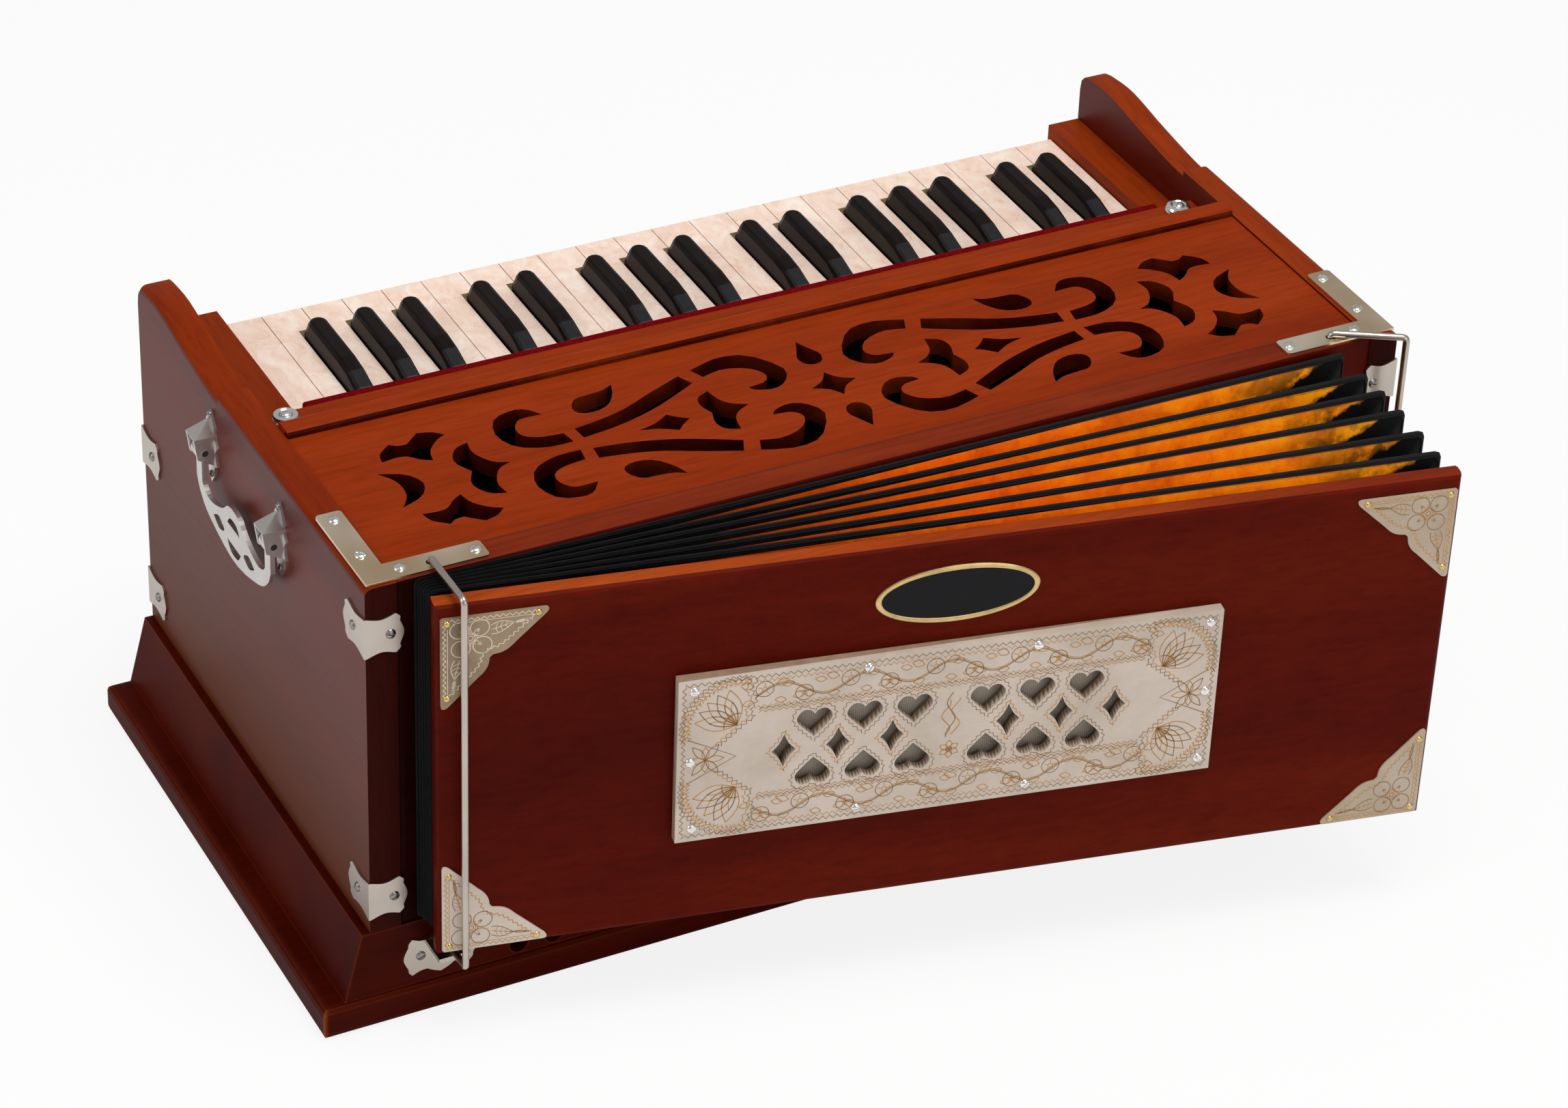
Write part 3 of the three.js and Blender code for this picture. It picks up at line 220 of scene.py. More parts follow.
def rounded_look(made, radius):
    """Shades the sharp edges of a material's pieces as if they were rounded over."""
    edge = node(made.node_tree, "ShaderNodeBevel", samples=6, Radius=radius)
    for one in made.node_tree.nodes:
        if one.type == "BUMP":
            feed(one, Normal=edge.outputs["Normal"])


def painted_edge_highlights(made, radius, colour, share):
    """Painted highlight: paler wood colour along the sharp edges, as if they caught the light."""
    tree = made.node_tree
    edge = node(tree, "ShaderNodeBevel", samples=8, Radius=radius)
    flat = node(tree, "ShaderNodeVectorMath", operation="DOT_PRODUCT")
    put(edge.outputs["Normal"], flat.inputs[0])
    put(node(tree, "ShaderNodeNewGeometry").outputs["True Normal"], flat.inputs[1])
    edge_highlight = ramp(tree, flat.outputs["Value"], [(0.8, (share, share, share)), (0.99, BLACK)])
    recolour(shader_of(made), edge_highlight, colour, "MIX")


def polish_fades(made, low, top, brown):
    """Less polish and a browner colour from the top of a board down."""
    tree, shader = made.node_tree, shader_of(made)
    height = axis(tree, "Z")
    feed(shader, Specular_IOR_Level=fit(tree, height, low, top, 0.06, 0.19))
    recolour(shader, fit(tree, height, 0.8, 0.0, 0.05, 0.2), brown, "MIX")


def darker_along(made, start, end, tint):
    """Tints a wood more and more from one place along the case to another."""
    tree = made.node_tree
    along = fit(tree, axis(tree, "X"), 0.0, 1.0, start, end)
    recolour(shader_of(made), 1.0, ramp(tree, along, [(0.0, WHITE), (1.0, tint)]))


def metal(name, colour, rough, scale=90.0, dent=0.00006, change=0.28):
    made, tree, shader = material(name)
    cloudy = noise(tree, scale, 4, 0.6)
    dark = [c * (1 - change) for c in colour]
    feed(shader, Metallic=1.0, Base_Color=ramp(tree, cloudy, [(0.3, dark), (0.6, colour)]),
         Roughness=fit(tree, cloudy, *rough))
    bump(shader, noise(tree, scale * 2.2, 3, 0.5), dent, 0.5)
    return made


def warm_metal(name, pale, warm):
    """Plated sheet that turns from silver to old gold in broad patches."""
    made, tree, shader = material(name)
    feed(shader, Metallic=1.0, Base_Color=ramp(tree, noise(tree, 16, 2, 0.4), [(0.36, warm), (0.6, pale)]),
         Roughness=fit(tree, noise(tree, 60, 2, 0.5, 0.0, (1, 0.3, 1)), 0.24, 0.32))
    return made


def engraved_sheet(name, pale, warm):
    made, tree, shader = material(name)
    clouds = noise(tree, 22, 5, 0.6, 0.6)
    scratches = noise(tree, 160, 4, 0.7, 0.0, (0.5, 1, 7), (0.2, 0.5, 0.1))
    feed(shader, Base_Color=ramp(tree, clouds, [(0.32, warm), (0.62, pale)]),
         Roughness=fit(tree, clouds, 0.2, 0.42), Coat_Weight=0.35, Coat_Roughness=0.12)
    recolour(shader, 0.14, ramp(tree, scratches, [(0.36, (0.8, 0.76, 0.7)), (0.5, WHITE)]))
    bump(shader, scratches, 0.00004, 0.4)
    return made


def plain(name, colour, rough):
    """One colour with a faint grain."""
    made, tree, shader = material(name)
    speck = noise(tree, 220, 4, 0.6)
    dark, light = [[min(1.0, c * change) for c in colour] for change in (0.84, 1.16)]
    feed(shader, Base_Color=ramp(tree, speck, [(0.3, dark), (0.7, light)]),
         Roughness=fit(tree, speck, rough - 0.06, rough + 0.06))
    bump(shader, speck, 0.00004, 0.5)
    return made


def ivory(name):
    """Key covering: pale with pinkish mottling drawn out along the key."""
    made, tree, shader = material(name)
    mottled = noise(tree, 110, 6, 0.68, 0.9, (0.8, 0.5, 1))
    veins = noise(tree, 420, 3, 0.6, 0.8, (1, 0.6, 1))
    tones = [(0.3, (0.83, 0.57, 0.44)), (0.5, (0.92, 0.71, 0.59)), (0.7, (0.98, 0.87, 0.77))]
    feed(shader, Base_Color=ramp(tree, mottled, tones), Roughness=fit(tree, mottled, 0.22, 0.36), Coat_Weight=0.2)
    recolour(shader, 0.3, ramp(tree, veins, [(0.36, (0.88, 0.8, 0.76)), (0.5, WHITE)]))
    bump(shader, mottled, 0.00005, 0.35)
    return made


def ebony(name):
    """Black stain whose polish shows where a key slopes down to the felt."""
    made, tree, shader = material(name)
    fibres = noise(tree, 900, 4, 0.65, 0.0, (1, 0.08, 1))
    feed(shader, Base_Color=ramp(tree, fibres, [(0.3, (0.0035, 0.002, 0.0015)), (0.7, (0.011, 0.007, 0.005))]),
         Roughness=fit(tree, fibres, 0.26, 0.42), Specular_Tint=(0.72, 0.84, 1.0),
         Specular_IOR_Level=fit(tree, axis(tree, "Y", "Normal"), 0.09, 1.0, -0.16, -0.4))
    bump(shader, fibres, 0.00005, 0.5)
    return made


def felt(name):
    made, tree, shader = material(name)
    fuzz = noise(tree, 900, 5, 0.7)
    feed(shader, Base_Color=ramp(tree, fuzz, [(0.3, (0.06, 0.0008, 0.0016)), (0.7, (0.2, 0.004, 0.0065))]),
         Roughness=0.95, Specular_IOR_Level=0.0, Sheen_Weight=0.15, Sheen_Tint=(0.6, 0.03, 0.03))
    bump(shader, fuzz, 0.0004, 0.8)
    return made


def leatherette(shader):
    tree = shader.id_data
    grain = node(tree, "ShaderNodeTexVoronoi", Vector=coords(tree), Scale=1100)
    tones = [(0.3, (0.0012, 0.0011, 0.0011)), (0.7, (0.0045, 0.0042, 0.0042))]
    feed(shader, Base_Color=ramp(tree, noise(tree, 60, 4, 0.6), tones), Roughness=0.55, Specular_IOR_Level=0.07)
    bump(shader, grain.outputs["Distance"], 0.00018, 0.6)


def valley_paper(shader):
    """Paper between the ridges: orange in the middle, gold with dark blotches at the open end, and painted shade
    towards the closed end.
    """
    tree = shader.id_data
    along = axis(tree, "X")
    blotch = noise(tree, 55, 5, 0.65, 0.8)
    flecks = noise(tree, 260, 4, 0.7, 0.5)
    cloud = noise(tree, 28, 4, 0.6, 0.6)
    amber = ramp(tree, blotch,
                 [(0.28, (0.66, 0.075, 0.0004)), (0.5, (0.9, 0.13, 0.0004)), (0.75, (0.96, 0.21, 0.0008))])
    gold = ramp(tree, blotch,
                [(0.3, (0.88, 0.22, 0.0004)), (0.5, (0.96, 0.33, 0.0006)), (0.72, (0.98, 0.48, 0.002))])
    dark = ramp(tree, cloud, [(0.36, (0.12, 0.035, 0.004)), (0.47, WHITE)])
    gold = blend_colours(tree, 0.5, gold, dark, "MULTIPLY")
    feed(shader, Base_Color=blend_colours(tree, fit(tree, along, 0.0, 1.0, 0.02, 0.25), amber, gold),
         Roughness=fit(tree, flecks, 0.25, 0.5), Specular_IOR_Level=0.2)
    # Painted shade: the paper darkens towards the closed end, where the narrow valleys get little light
    painted_shade_ramp = [(0.0, (0.06, 0.02, 0.01)), (0.5, (0.42, 0.28, 0.14)), (1.0, WHITE)]
    recolour(shader, 1.0, ramp(tree, fit(tree, along, 0.0, 1.0, -0.2, 0.0), painted_shade_ramp))
    recolour(shader, 0.35, ramp(tree, flecks, [(0.34, (0.6, 0.4, 0.25)), (0.45, WHITE)]))
    bump(shader, flecks, 0.0003, 0.6)


def weave(name, colour):
    made, tree, shader = material(name)
    threads = [node(tree, "ShaderNodeTexWave", wave_type="BANDS", bands_direction=way, Vector=coords(tree),
                    Scale=320).outputs["Color"] for way in "XZ"]
    crossed = blend_colours(tree, 0.5, *threads)
    feed(shader, Base_Color=ramp(tree, crossed, [(0.2, [c * 0.6 for c in colour]), (0.8, colour)]),
         Roughness=0.85)
    bump(shader, crossed, 0.0002, 0.6)
    return made


ALONG_X, ALONG_Y, ALONG_Z = (0.09, 1.0, 1.0), (1.0, 0.09, 1.0), (1.0, 1.0, 0.09)
RED = (0.068, 0.0036, 0.0011), (0.094, 0.0056, 0.0015), (0.125, 0.0095, 0.0022)
RUST = (0.12, 0.012, 0.003), (0.2, 0.024, 0.006), (0.32, 0.06, 0.02)
DEEP = (0.022, 0.0018, 0.0008), (0.03, 0.0025, 0.001), (0.042, 0.0038, 0.0014)
DARK_RED = (0.045, 0.0026, 0.0007), (0.066, 0.0042, 0.001), (0.09, 0.007, 0.0016)
BROWN = (0.17, 0.0155, 0.0018), (0.24, 0.025, 0.0025), (0.31, 0.038, 0.0045)
WARM = (0.22, 0.025, 0.004), (0.31, 0.045, 0.006), (0.39, 0.066, 0.01)
SAWN = (0.022, 0.0015, 0.0004), (0.055, 0.0045, 0.0008), (0.16, 0.02, 0.002)
AMBER = (0.15, 0.013, 0.0018), (0.22, 0.024, 0.0028), (0.3, 0.04, 0.005)
PALE = (0.3, 0.16, 0.07), (0.46, 0.28, 0.13), (0.58, 0.38, 0.2)
STRAW = (0.5, 0.34, 0.18), (0.62, 0.45, 0.26), (0.7, 0.53, 0.33)

panel_wood = wood("panel_wood", RED, ALONG_X)
# Painted light and shade: the top of the bellows rail in a lighter wood than its front
rail_wood_painted_top_light = wood("rail_wood_painted_top_light", RUST, ALONG_X)
rail_front = wood("rail_front", RED, ALONG_X)
for one in (rail_wood_painted_top_light, rail_front):
    rounded_look(one, 0.0045)
# Painted shade: the front of the rail gets darker towards the left end
darker_along(rail_front, -0.2, -0.25, (0.16, 0.12, 0.12))
# Painted shadow: a much darker wood for the front faces of the end panels
painted_shadow_wood = wood("painted_shadow_wood", DEEP, ALONG_Z)
end_wood = wood("end_wood", RED, ALONG_Y)
feed(shader_of(end_wood), Specular_Tint=(1.0, 0.84, 0.8))
polish_fades(end_wood, 0.05, 0.19, (0.115, 0.033, 0.014))
# Painted highlights along the edges of the base and the feet
base_wood = wood("base_wood", DARK_RED, ALONG_X)
painted_edge_highlights(base_wood, 0.002, (0.2, 0.036, 0.008), 0.4)
foot_wood = wood("foot_wood", DARK_RED, ALONG_X)
painted_edge_highlights(foot_wood, 0.005, (0.3, 0.06, 0.01), 0.8)
cover_wood = wood("cover_wood", BROWN, ALONG_X)
# Painted light: lighter wood for the top faces of the pump board, darker towards its right end
painted_top_light_wood = wood("painted_top_light_wood", WARM, ALONG_X)
darker_along(painted_top_light_wood, 0.05, 0.19, (0.56, 0.42, 0.9))
# Walls of the fretwork holes: dark sawn wood, darkened further as painted shade inside the holes, with paler
# patches as painted glints
cut_wood_and_painted_shade = wood("cut_wood_and_painted_shade", SAWN, (1, 1, 1))
# Key block wood, also laid on the tops of the end panels as painted light
block_wood_and_painted_top_light = wood("block_wood_and_painted_top_light", AMBER, ALONG_Y)
pale_wood = wood("pale_wood", PALE, ALONG_X)
key_wood = wood("key_wood", STRAW, ALONG_Y)
nickel = metal("nickel", (0.56, 0.5, 0.44), (0.24, 0.34), 30, 0.00001, 0.12)
handle_metal = metal("handle_metal", (0.68, 0.65, 0.63), (0.32, 0.44), 40, 0.00001, 0.15)
bright_nickel = metal("bright_nickel", (0.86, 0.85, 0.83), (0.14, 0.24), 90, 0.00001, 0.1)
steel = metal("steel", (0.34, 0.32, 0.3), (0.25, 0.35), 90, 0.00001, 0.2)
brass = metal("brass", (0.78, 0.56, 0.22), (0.2, 0.34))
badge_gold = metal("badge_gold", (0.74, 0.53, 0.24), (0.25, 0.36))
bracket_metal = warm_metal("bracket_metal", (0.93, 0.82, 0.66), (0.68, 0.5, 0.31))
plate_sheet = engraved_sheet("engraved_plate", (0.64, 0.54, 0.46), (0.52, 0.43, 0.345))
corner_sheet = engraved_sheet("corner_plate", (0.5, 0.4, 0.3), (0.4, 0.3, 0.2))
pale_sheet = engraved_sheet("pale_corner_plate", (0.66, 0.56, 0.48), (0.54, 0.44, 0.35))
gold_sheet = engraved_sheet("gold_corner_plate", (0.36, 0.245, 0.14), (0.2, 0.13, 0.062))
plate_edge = plain("plate_backing", (0.3, 0.2, 0.13), 0.7)
pin_hole = plain("pin_hole", (0.02, 0.017, 0.015), 0.6)
engraving = plain("engraved_line", (0.5, 0.25, 0.06), 0.45)
engraving_dark = plain("engraved_line_dark", (0.28, 0.17, 0.09), 0.5)
engraving_pale = plain("engraved_line_pale", (0.72, 0.6, 0.46), 0.4)
# Painted shade: a nearly black, unshiny sheet seen through the fretwork holes
painted_shadow_sheet = plain("painted_shadow_sheet", (0.003, 0.0012, 0.0009), 0.95)
feed(shader_of(painted_shadow_sheet), Specular_IOR_Level=0.0)
badge_black = plain("badge_black", (0.003, 0.0035, 0.005), 0.3)
feed(shader_of(badge_black), Specular_IOR_Level=0.15)
knob_black = plain("knob_black", (0.012, 0.011, 0.01), 0.22)
white_key = ivory("white_key")
black_key = ebony("black_key")
red_felt = felt("red_felt")
black_leather = material("black_leather")[0]
leatherette(shader_of(black_leather))
screen_weave = weave("screen_weave", (0.5, 0.44, 0.36))


# Mesh helpers


def in_scene(name, data):
    made = bpy.data.objects.new(name, data)
    bpy.context.scene.collection.objects.link(made)
    return made


def new_object(name, mesh, body):
    made = in_scene(name, mesh)
    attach(made, body)
    return made


def finish_mesh(mesh, smooth_angle):
    mesh.validate()
    mesh.update()
    for polygon in mesh.polygons:
        polygon.use_smooth = True
    mesh.set_sharp_from_angle(angle=smooth_angle)


class Pile:
    """Gathers faces of many small forms into one mesh."""

    def __init__(self):
        self.points, self.faces, self.kinds = [], [], []

    def add(self, points, faces, kind=0):
        first = len(self.points)
        self.points.extend(points)
        self.faces.extend([[first + i for i in face] for face in faces])
        self.kinds.extend([kind] * len(faces))

    def add_mesh(self, shape, place):
        points, faces = shape
        self.add([place @ p for p in points], faces)

    def piece(self, name, body, materials, slot=None, angle=math.radians(35)):
        mesh = bpy.data.meshes.new(name)
        mesh.from_pydata([tuple(p) for p in self.points], [], self.faces)
        for made in materials:
            mesh.materials.append(made)
        for polygon, kind in zip(mesh.polygons, self.kinds):
            polygon.material_index = kind
        finish_mesh(mesh, angle)
        return new_object(name, mesh, body)


def circle(sides):
    """Cosine and sine of evenly spread angles."""
    return [(math.cos(2 * math.pi * k / sides), math.sin(2 * math.pi * k / sides)) for k in range(sides)]


def bands(rings, sides):
    """Faces between rings of points that follow each other."""
    return [[i * sides + k, i * sides + (k + 1) % sides, (i + 1) * sides + (k + 1) % sides, (i + 1) * sides + k]
            for i in range(rings - 1) for k in range(sides)]


def mesh_parts(work):
    """Points and faces of a bmesh, in metres."""
    work.verts.index_update()
    points = [v.co.copy() for v in work.verts]
    faces = [[v.index for v in f.verts] for f in work.faces]
    work.free()
    return points, faces


def turned(profile, sides):
    """A closed form turned about Z from radius and height pairs in millimetres."""
    work = bmesh.new()
    rings = []
    for radius, height in profile:
        way = circle(sides) if radius else [(0, 0)]
        rings.append([work.verts.new((radius * c / 1000, radius * s / 1000, height / 1000)) for c, s in way])
    for low, high in zip(rings, rings[1:]):
        for k in range(sides):
            n = (k + 1) % sides
            if len(low) == 1:
                work.faces.new((low[0], high[k], high[n]))
            elif len(high) == 1:
                work.faces.new((low[k], low[n], high[0]))
            else:
                work.faces.new((low[k], low[n], high[n], high[k]))
    bmesh.ops.recalc_face_normals(work, faces=work.faces)
    return work


def screw_shape(radius, height):
    """A domed head with a slot cut across it, standing on Z = 0."""
    turns = [math.pi / 2 * k / 4 for k in range(4)]
    dome = [(radius * math.cos(a), height * math.sin(a)) for a in turns]
    work = turned([(radius, -0.2), *dome, (0, height)], 20)
    half = radius * 0.13 / 1000
    for side in (-1, 1):
        geometry = work.verts[:] + work.edges[:] + work.faces[:]
        bmesh.ops.bisect_plane(work, geom=geometry, plane_co=(0, side * half, 0), plane_no=(0, 1, 0))
    inner = [f for f in work.faces if abs(f.calc_center_median().y) < half and
             f.calc_center_median().z > height * 0.25 / 1000]
    extruded = bmesh.ops.extrude_face_region(work, geom=inner)
    moved = [g for g in extruded["geom"] if isinstance(g, bmesh.types.BMVert)]
    for vertex in moved:
        vertex.co.z = height * 0.42 / 1000
    bmesh.ops.delete(work, geom=inner, context="FACES")
    bmesh.ops.recalc_face_normals(work, faces=work.faces)
    return mesh_parts(work)


def facing(point, normal, turn=0.0):
    """Places a form that stands on Z = 0 at a point, along a direction."""
    direction = Vector(normal).normalized()
    return (Matrix.Translation(point) @ direction.to_track_quat("Z", "Y").to_matrix().to_4x4()
            @ Matrix.Rotation(turn, 4, "Z"))


def tube(points, radius, sides):
    """A round bar along points in metres; radius in millimetres."""
    made = []
    tangent = (points[1] - points[0]).normalized()
    guide = Vector((1, 0, 0)) if abs(tangent.x) < 0.9 else Vector((0, 1, 0))
    side = tangent.cross(guide).normalized()
    for i, point in enumerate(points):
        before, after = points[max(0, i - 1)], points[min(len(points) - 1, i + 1)]
        tangent = (after - before).normalized()
        side = (side - tangent * side.dot(tangent)).normalized()
        other = tangent.cross(side)
        made += [point + (side * c + other * s) * (radius / 1000) for c, s in circle(sides)]
    ends = [list(range(sides - 1, -1, -1)), list(range(len(made) - sides, len(made)))]
    return made, bands(len(points), sides) + ends


def soften(name, width, segments=2, angle=34):
    """Rounds the sharp edges of a solid from the frame and shades it smoothly."""
    made = nodes[name]
    for polygon in made.data.polygons:
        polygon.use_smooth = True
    made.data.set_sharp_from_angle(angle=math.radians(angle))
    rounding = made.modifiers.new("edges", "BEVEL")
    rounding.width = width / 1000
    rounding.segments = segments
    rounding.limit_method = "ANGLE"
    rounding.angle_limit = math.radians(angle)
    rounding.harden_normals = True
    rounding.use_clamp_overlap = True


def paint(name, *materials):
    made = nodes[name]
    made.data.materials.clear()
    for one in materials:
        made.data.materials.append(one)
    for polygon in made.data.polygons:
        polygon.material_index = 0


def paint_where(name, index, test):
    """Gives a material to the faces whose middle, in case millimetres, passes a test."""
    data = nodes[name].data
    for polygon in data.polygons:
        c = polygon.center
        if test(c.x * 1000 + CASE_LENGTH / 2, c.y * 1000 + CASE_DEPTH / 2, c.z * 1000, polygon.normal):
            polygon.material_index = index


# Solids from the frame: material and rounding in millimetres

for name, made, width in (("base_board", foot_wood, 0.8), ("bellows_wall", rail_wood_painted_top_light, 0.5),
                          ("stop_board", panel_wood, 0.8), ("reed_deck", pale_wood, 0.3),
                          ("reed_bank", pale_wood, 0.2), ("left_handle", handle_metal, 0.45),
                          ("right_handle", handle_metal, 0.45), ("left_corner_bracket", bracket_metal, 0.3),
                          ("right_corner_bracket", bracket_metal, 0.3)):
    paint(name, made)
    soften(name, width)
# Painted light and shade: lighter wood on the top of the rail, darker wood on its front
nodes["bellows_wall"].data.materials.append(rail_front)
paint_where("bellows_wall", 1, lambda x, y, z, n: n.z < 0.2)

paint("plinth", base_wood, nickel, base_wood)
paint_where("plinth", 2, lambda x, y, z, n: x < 0.5 or x > CASE_LENGTH - 0.5)
paint_where("plinth", 1, lambda x, y, z, n: y < -HAIR and z > CATCH_PLATES_ABOVE)
soften("plinth", 0.5)

for name in ("left_end_panel", "right_end_panel"):
    paint(name, end_wood, nickel, block_wood_and_painted_top_light, painted_shadow_wood, handle_metal, pin_hole)

    def inward(x):
        return x if name.startswith("left") else CASE_LENGTH - x

    def pin_end(y, z):
        return abs(abs(y - HANDLE_Y) - HANDLE_HALF) > PIN_OUT and abs(z - HANDLE_Z) < 2
    # Inner faces get the key block wood; the top faces get it too, as painted light
    paint_where(name, 2, lambda x, y, z, n: inward(x) > END_BOARD + HAIR or n.z > 0.3)
    # Painted shadow: the front faces of the end panels get the much darker wood
    paint_where(name, 3, lambda x, y, z, n: n.y < -0.9 and y < HAIR)
    paint_where(name, 1, lambda x, y, z, n: inward(x) < -HAIR or not -HAIR <= y <= CASE_DEPTH + HAIR)
    paint_where(name, 4, lambda x, y, z, n: inward(x) < -HAIR and HOUSING_Z[0] < z < HOUSING_Z[1] and
                HOUSING_Y[0] < y < HOUSING_Y[1])
    paint_where(name, 5, lambda x, y, z, n: inward(x) < -4 and abs(n.y) > 0.9 and pin_end(y, z))
    soften(name, 0.7)

paint("top_cover", cover_wood, bright_nickel, cut_wood_and_painted_shade)
# The walls of the fretwork holes get the dark cut wood with painted shade and glints
paint_where("top_cover", 2, lambda x, y, z, n: abs(n.z) < 0.5 and FRET_Y[0] < y < FRET_Y[1])
paint_where("top_cover", 1, lambda x, y, z, n: z > CUP_Z and y > CUP_Y - 8 and
            min(x, CASE_LENGTH - x) < CUP_X + 8.5)
soften("top_cover", 0.5, 2, 40)
paint("pump_board", panel_wood, corner_sheet, painted_top_light_wood, pale_sheet, gold_sheet)
board_back = BOARD.inverted()
for polygon in nodes["pump_board"].data.polygons:
    u, deep, z = board_back @ polygon.center * 1000
    if deep < BOARD_FACE - 0.02:
        polygon.material_index = 1 if u >= BOARD_LENGTH / 2 else 4 if z > GRILLE_Z else 3
    # Painted light: the top faces get the lighter wood
    elif polygon.normal.z > (0.98 if deep < BOARD_MIDDLE else 0.6):
        polygon.material_index = 2
soften("pump_board", 0.25)
paint("grille_plate", plate_sheet, plate_edge)
for polygon in nodes["grille_plate"].data.polygons:
    if (board_back @ polygon.center).y * 1000 > GRILLE_FRONT + SHEET:
        polygon.material_index = 1
soften("grille_plate", 0.25)
for k in range(3):
    paint("stop_knob_%d" % (k + 1), knob_black)
    soften("stop_knob_%d" % (k + 1), 0.2, 2, 50)
for name in nodes:
    if name.startswith("key_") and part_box(name)[1].z > BLACK_KEYS_ABOVE:
        paint(name, black_key)
        soften(name, 0.9, 3, 22)
    elif name.startswith("key_"):
        paint(name, white_key, key_wood)
        paint_where(name, 1, lambda x, y, z, n: z < COVERING and y < KEY_FRONT)
        soften(name, 0.25)


# Soft pieces

def rounded_copy(name, new_name, made, width, segments):
    """A rounded form in place of a plain soft solid."""
    mesh = nodes[name].data.copy()
    mesh.name = new_name
    mesh.materials.clear()
    mesh.materials.append(made)
    work = bmesh.new()
    work.from_mesh(mesh)
    bmesh.ops.remove_doubles(work, verts=work.verts, dist=1e-6)
    sharp = [e for e in work.edges if len(e.link_faces) == 2 and e.calc_face_angle(0) > 0.5]
    bmesh.ops.bevel(work, geom=sharp, offset=width / 1000, segments=segments, affect="EDGES",
                    profile=0.5, clamp_overlap=True)
    work.to_mesh(mesh)
    work.free()
    finish_mesh(mesh, math.radians(50))
    return new_object(new_name, mesh, "case")


felt_piece = rounded_copy("felt_strip", "felt_roll", red_felt, 1.6, 3)
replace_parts(felt_piece, "felt_strip")
reservoir_piece = rounded_copy("reservoir", "reservoir_bag", black_leather, 1.2, 2)
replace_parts(reservoir_piece, "reservoir")


# Bellows: each fold is a loop round the stack, turned by its share of the opening

RIDGES = (0.05, 0.2405, 0.392, 0.562, 0.745, 0.915)
EDGE = 0.0125  # half the thickness of a ridge, as a share of the opening
FOLD, BAND, LAP = 24.0, 2.0, 2.2  # depth of a fold, of the cloth over a ridge and of the step below it
WALL = 0.9  # thickness of the folds
GUSSET, GUSSET_SLANT = 8.0, 46.0
CORNER = 3.0  # how far the corners of a loop are rounded
CLOSED = 14.0  # what the folds take up when closed
RIM = (6.5, 0.3)  # inset and depth where the folds meet the wall and the pump board
BELLOWS_X = (24.0, 524.8)
BELLOWS_Z = (58.0, 255.5)


def fold_loop(inset):
    """Points (x, z) round one loop with their distance from the nearest corner."""
    x0, x1 = BELLOWS_X[0] + inset, BELLOWS_X[1] - inset
    z0, z1 = BELLOWS_Z[0] + inset, BELLOWS_Z[1] - inset
    cut = CORNER * 0.29
    corners = [((x0, z0), (1, 0), (0, 1)), ((x1, z0), (0, 1), (-1, 0)),
               ((x1, z1), (-1, 0), (0, -1)), ((x0, z1), (0, -1), (1, 0))]
    loop = []
    for (x, z), ahead, behind in corners:
        both = (behind[0] + ahead[0], behind[1] + ahead[1])
        for way, reaches in ((behind, (70, 30, 12, CORNER)), (both, (cut,)), (ahead, (CORNER, 12, 30, 70))):
            loop += [((x + way[0] * reach, z + way[1] * reach), reach) for reach in reaches]
    return loop


def bellows_mesh():
    # Loops as share of the opening, inset and depth in the fold, from the wall to the pump board
    stations = [(0.0, *RIM)]
    valleys = [0.0, *[(a + b) / 2 for a, b in zip(RIDGES, RIDGES[1:])], 1.0]
    for middle, before, after in zip(RIDGES, valleys, valleys[1:]):
        sides = []
        for way, run in ((-1, middle - before - EDGE), (1, after - middle - EDGE)):
            sides.append([(middle + way * (EDGE * 1.12 + run * BAND / FOLD), BAND, BAND / FOLD),
                          (middle + way * (EDGE * 0.86 + run * LAP / FOLD), LAP, LAP / FOLD),
                          (middle + way * (EDGE + run * 0.55), FOLD * 0.52, 0.52)])
        crown = [(middle + EDGE * 1.12 * turn, 1.6 * (1 - math.sqrt(1 - turn * turn)), 0.0)
                 for turn in (-1.0, -0.85, -0.5, 0.0, 0.5, 0.85, 1.0)]
        stations += [*sides[0][::-1], *crown, *sides[1]]
        if after < 1.0:
            stations.append((after, FOLD, 1.0))
    stations.append((1.0, *RIM))
    points, weights, depths, reaches = [], [], [], []
    count = len(fold_loop(0))
    for share, inset, depth in stations:
        y = 0.3 - share * CLOSED
        turn = Matrix.Rotation(-share * OPEN, 2)
        for extra in (0.0, WALL):
            for (x, z), reach in fold_loop(inset + extra):
                flat = turn @ Vector((x - HINGE_X, y - HINGE_Y))
                points.append(at(HINGE_X + flat.x, HINGE_Y + flat.y, z))
                weights.append(share)
                depths.append(depth)
                reaches.append(reach)
    # Each row of points is an outer loop and then an inner one
    faces = []
    row = 2 * count
    for i in range(len(stations) - 1):
        for k in range(count):
            n = (k + 1) % count
            a, b = i * row, (i + 1) * row
            faces.append([a + n, b + n, b + k, a + k])
            faces.append([a + count + k, b + count + k, b + count + n, a + count + n])
    last = (len(stations) - 1) * row
    for k in range(count):
        n = (k + 1) % count
        faces.append([k, count + k, count + n, n])
        faces.append([last + n, last + count + n, last + count + k, last + k])
    return points, faces, weights, depths, reaches


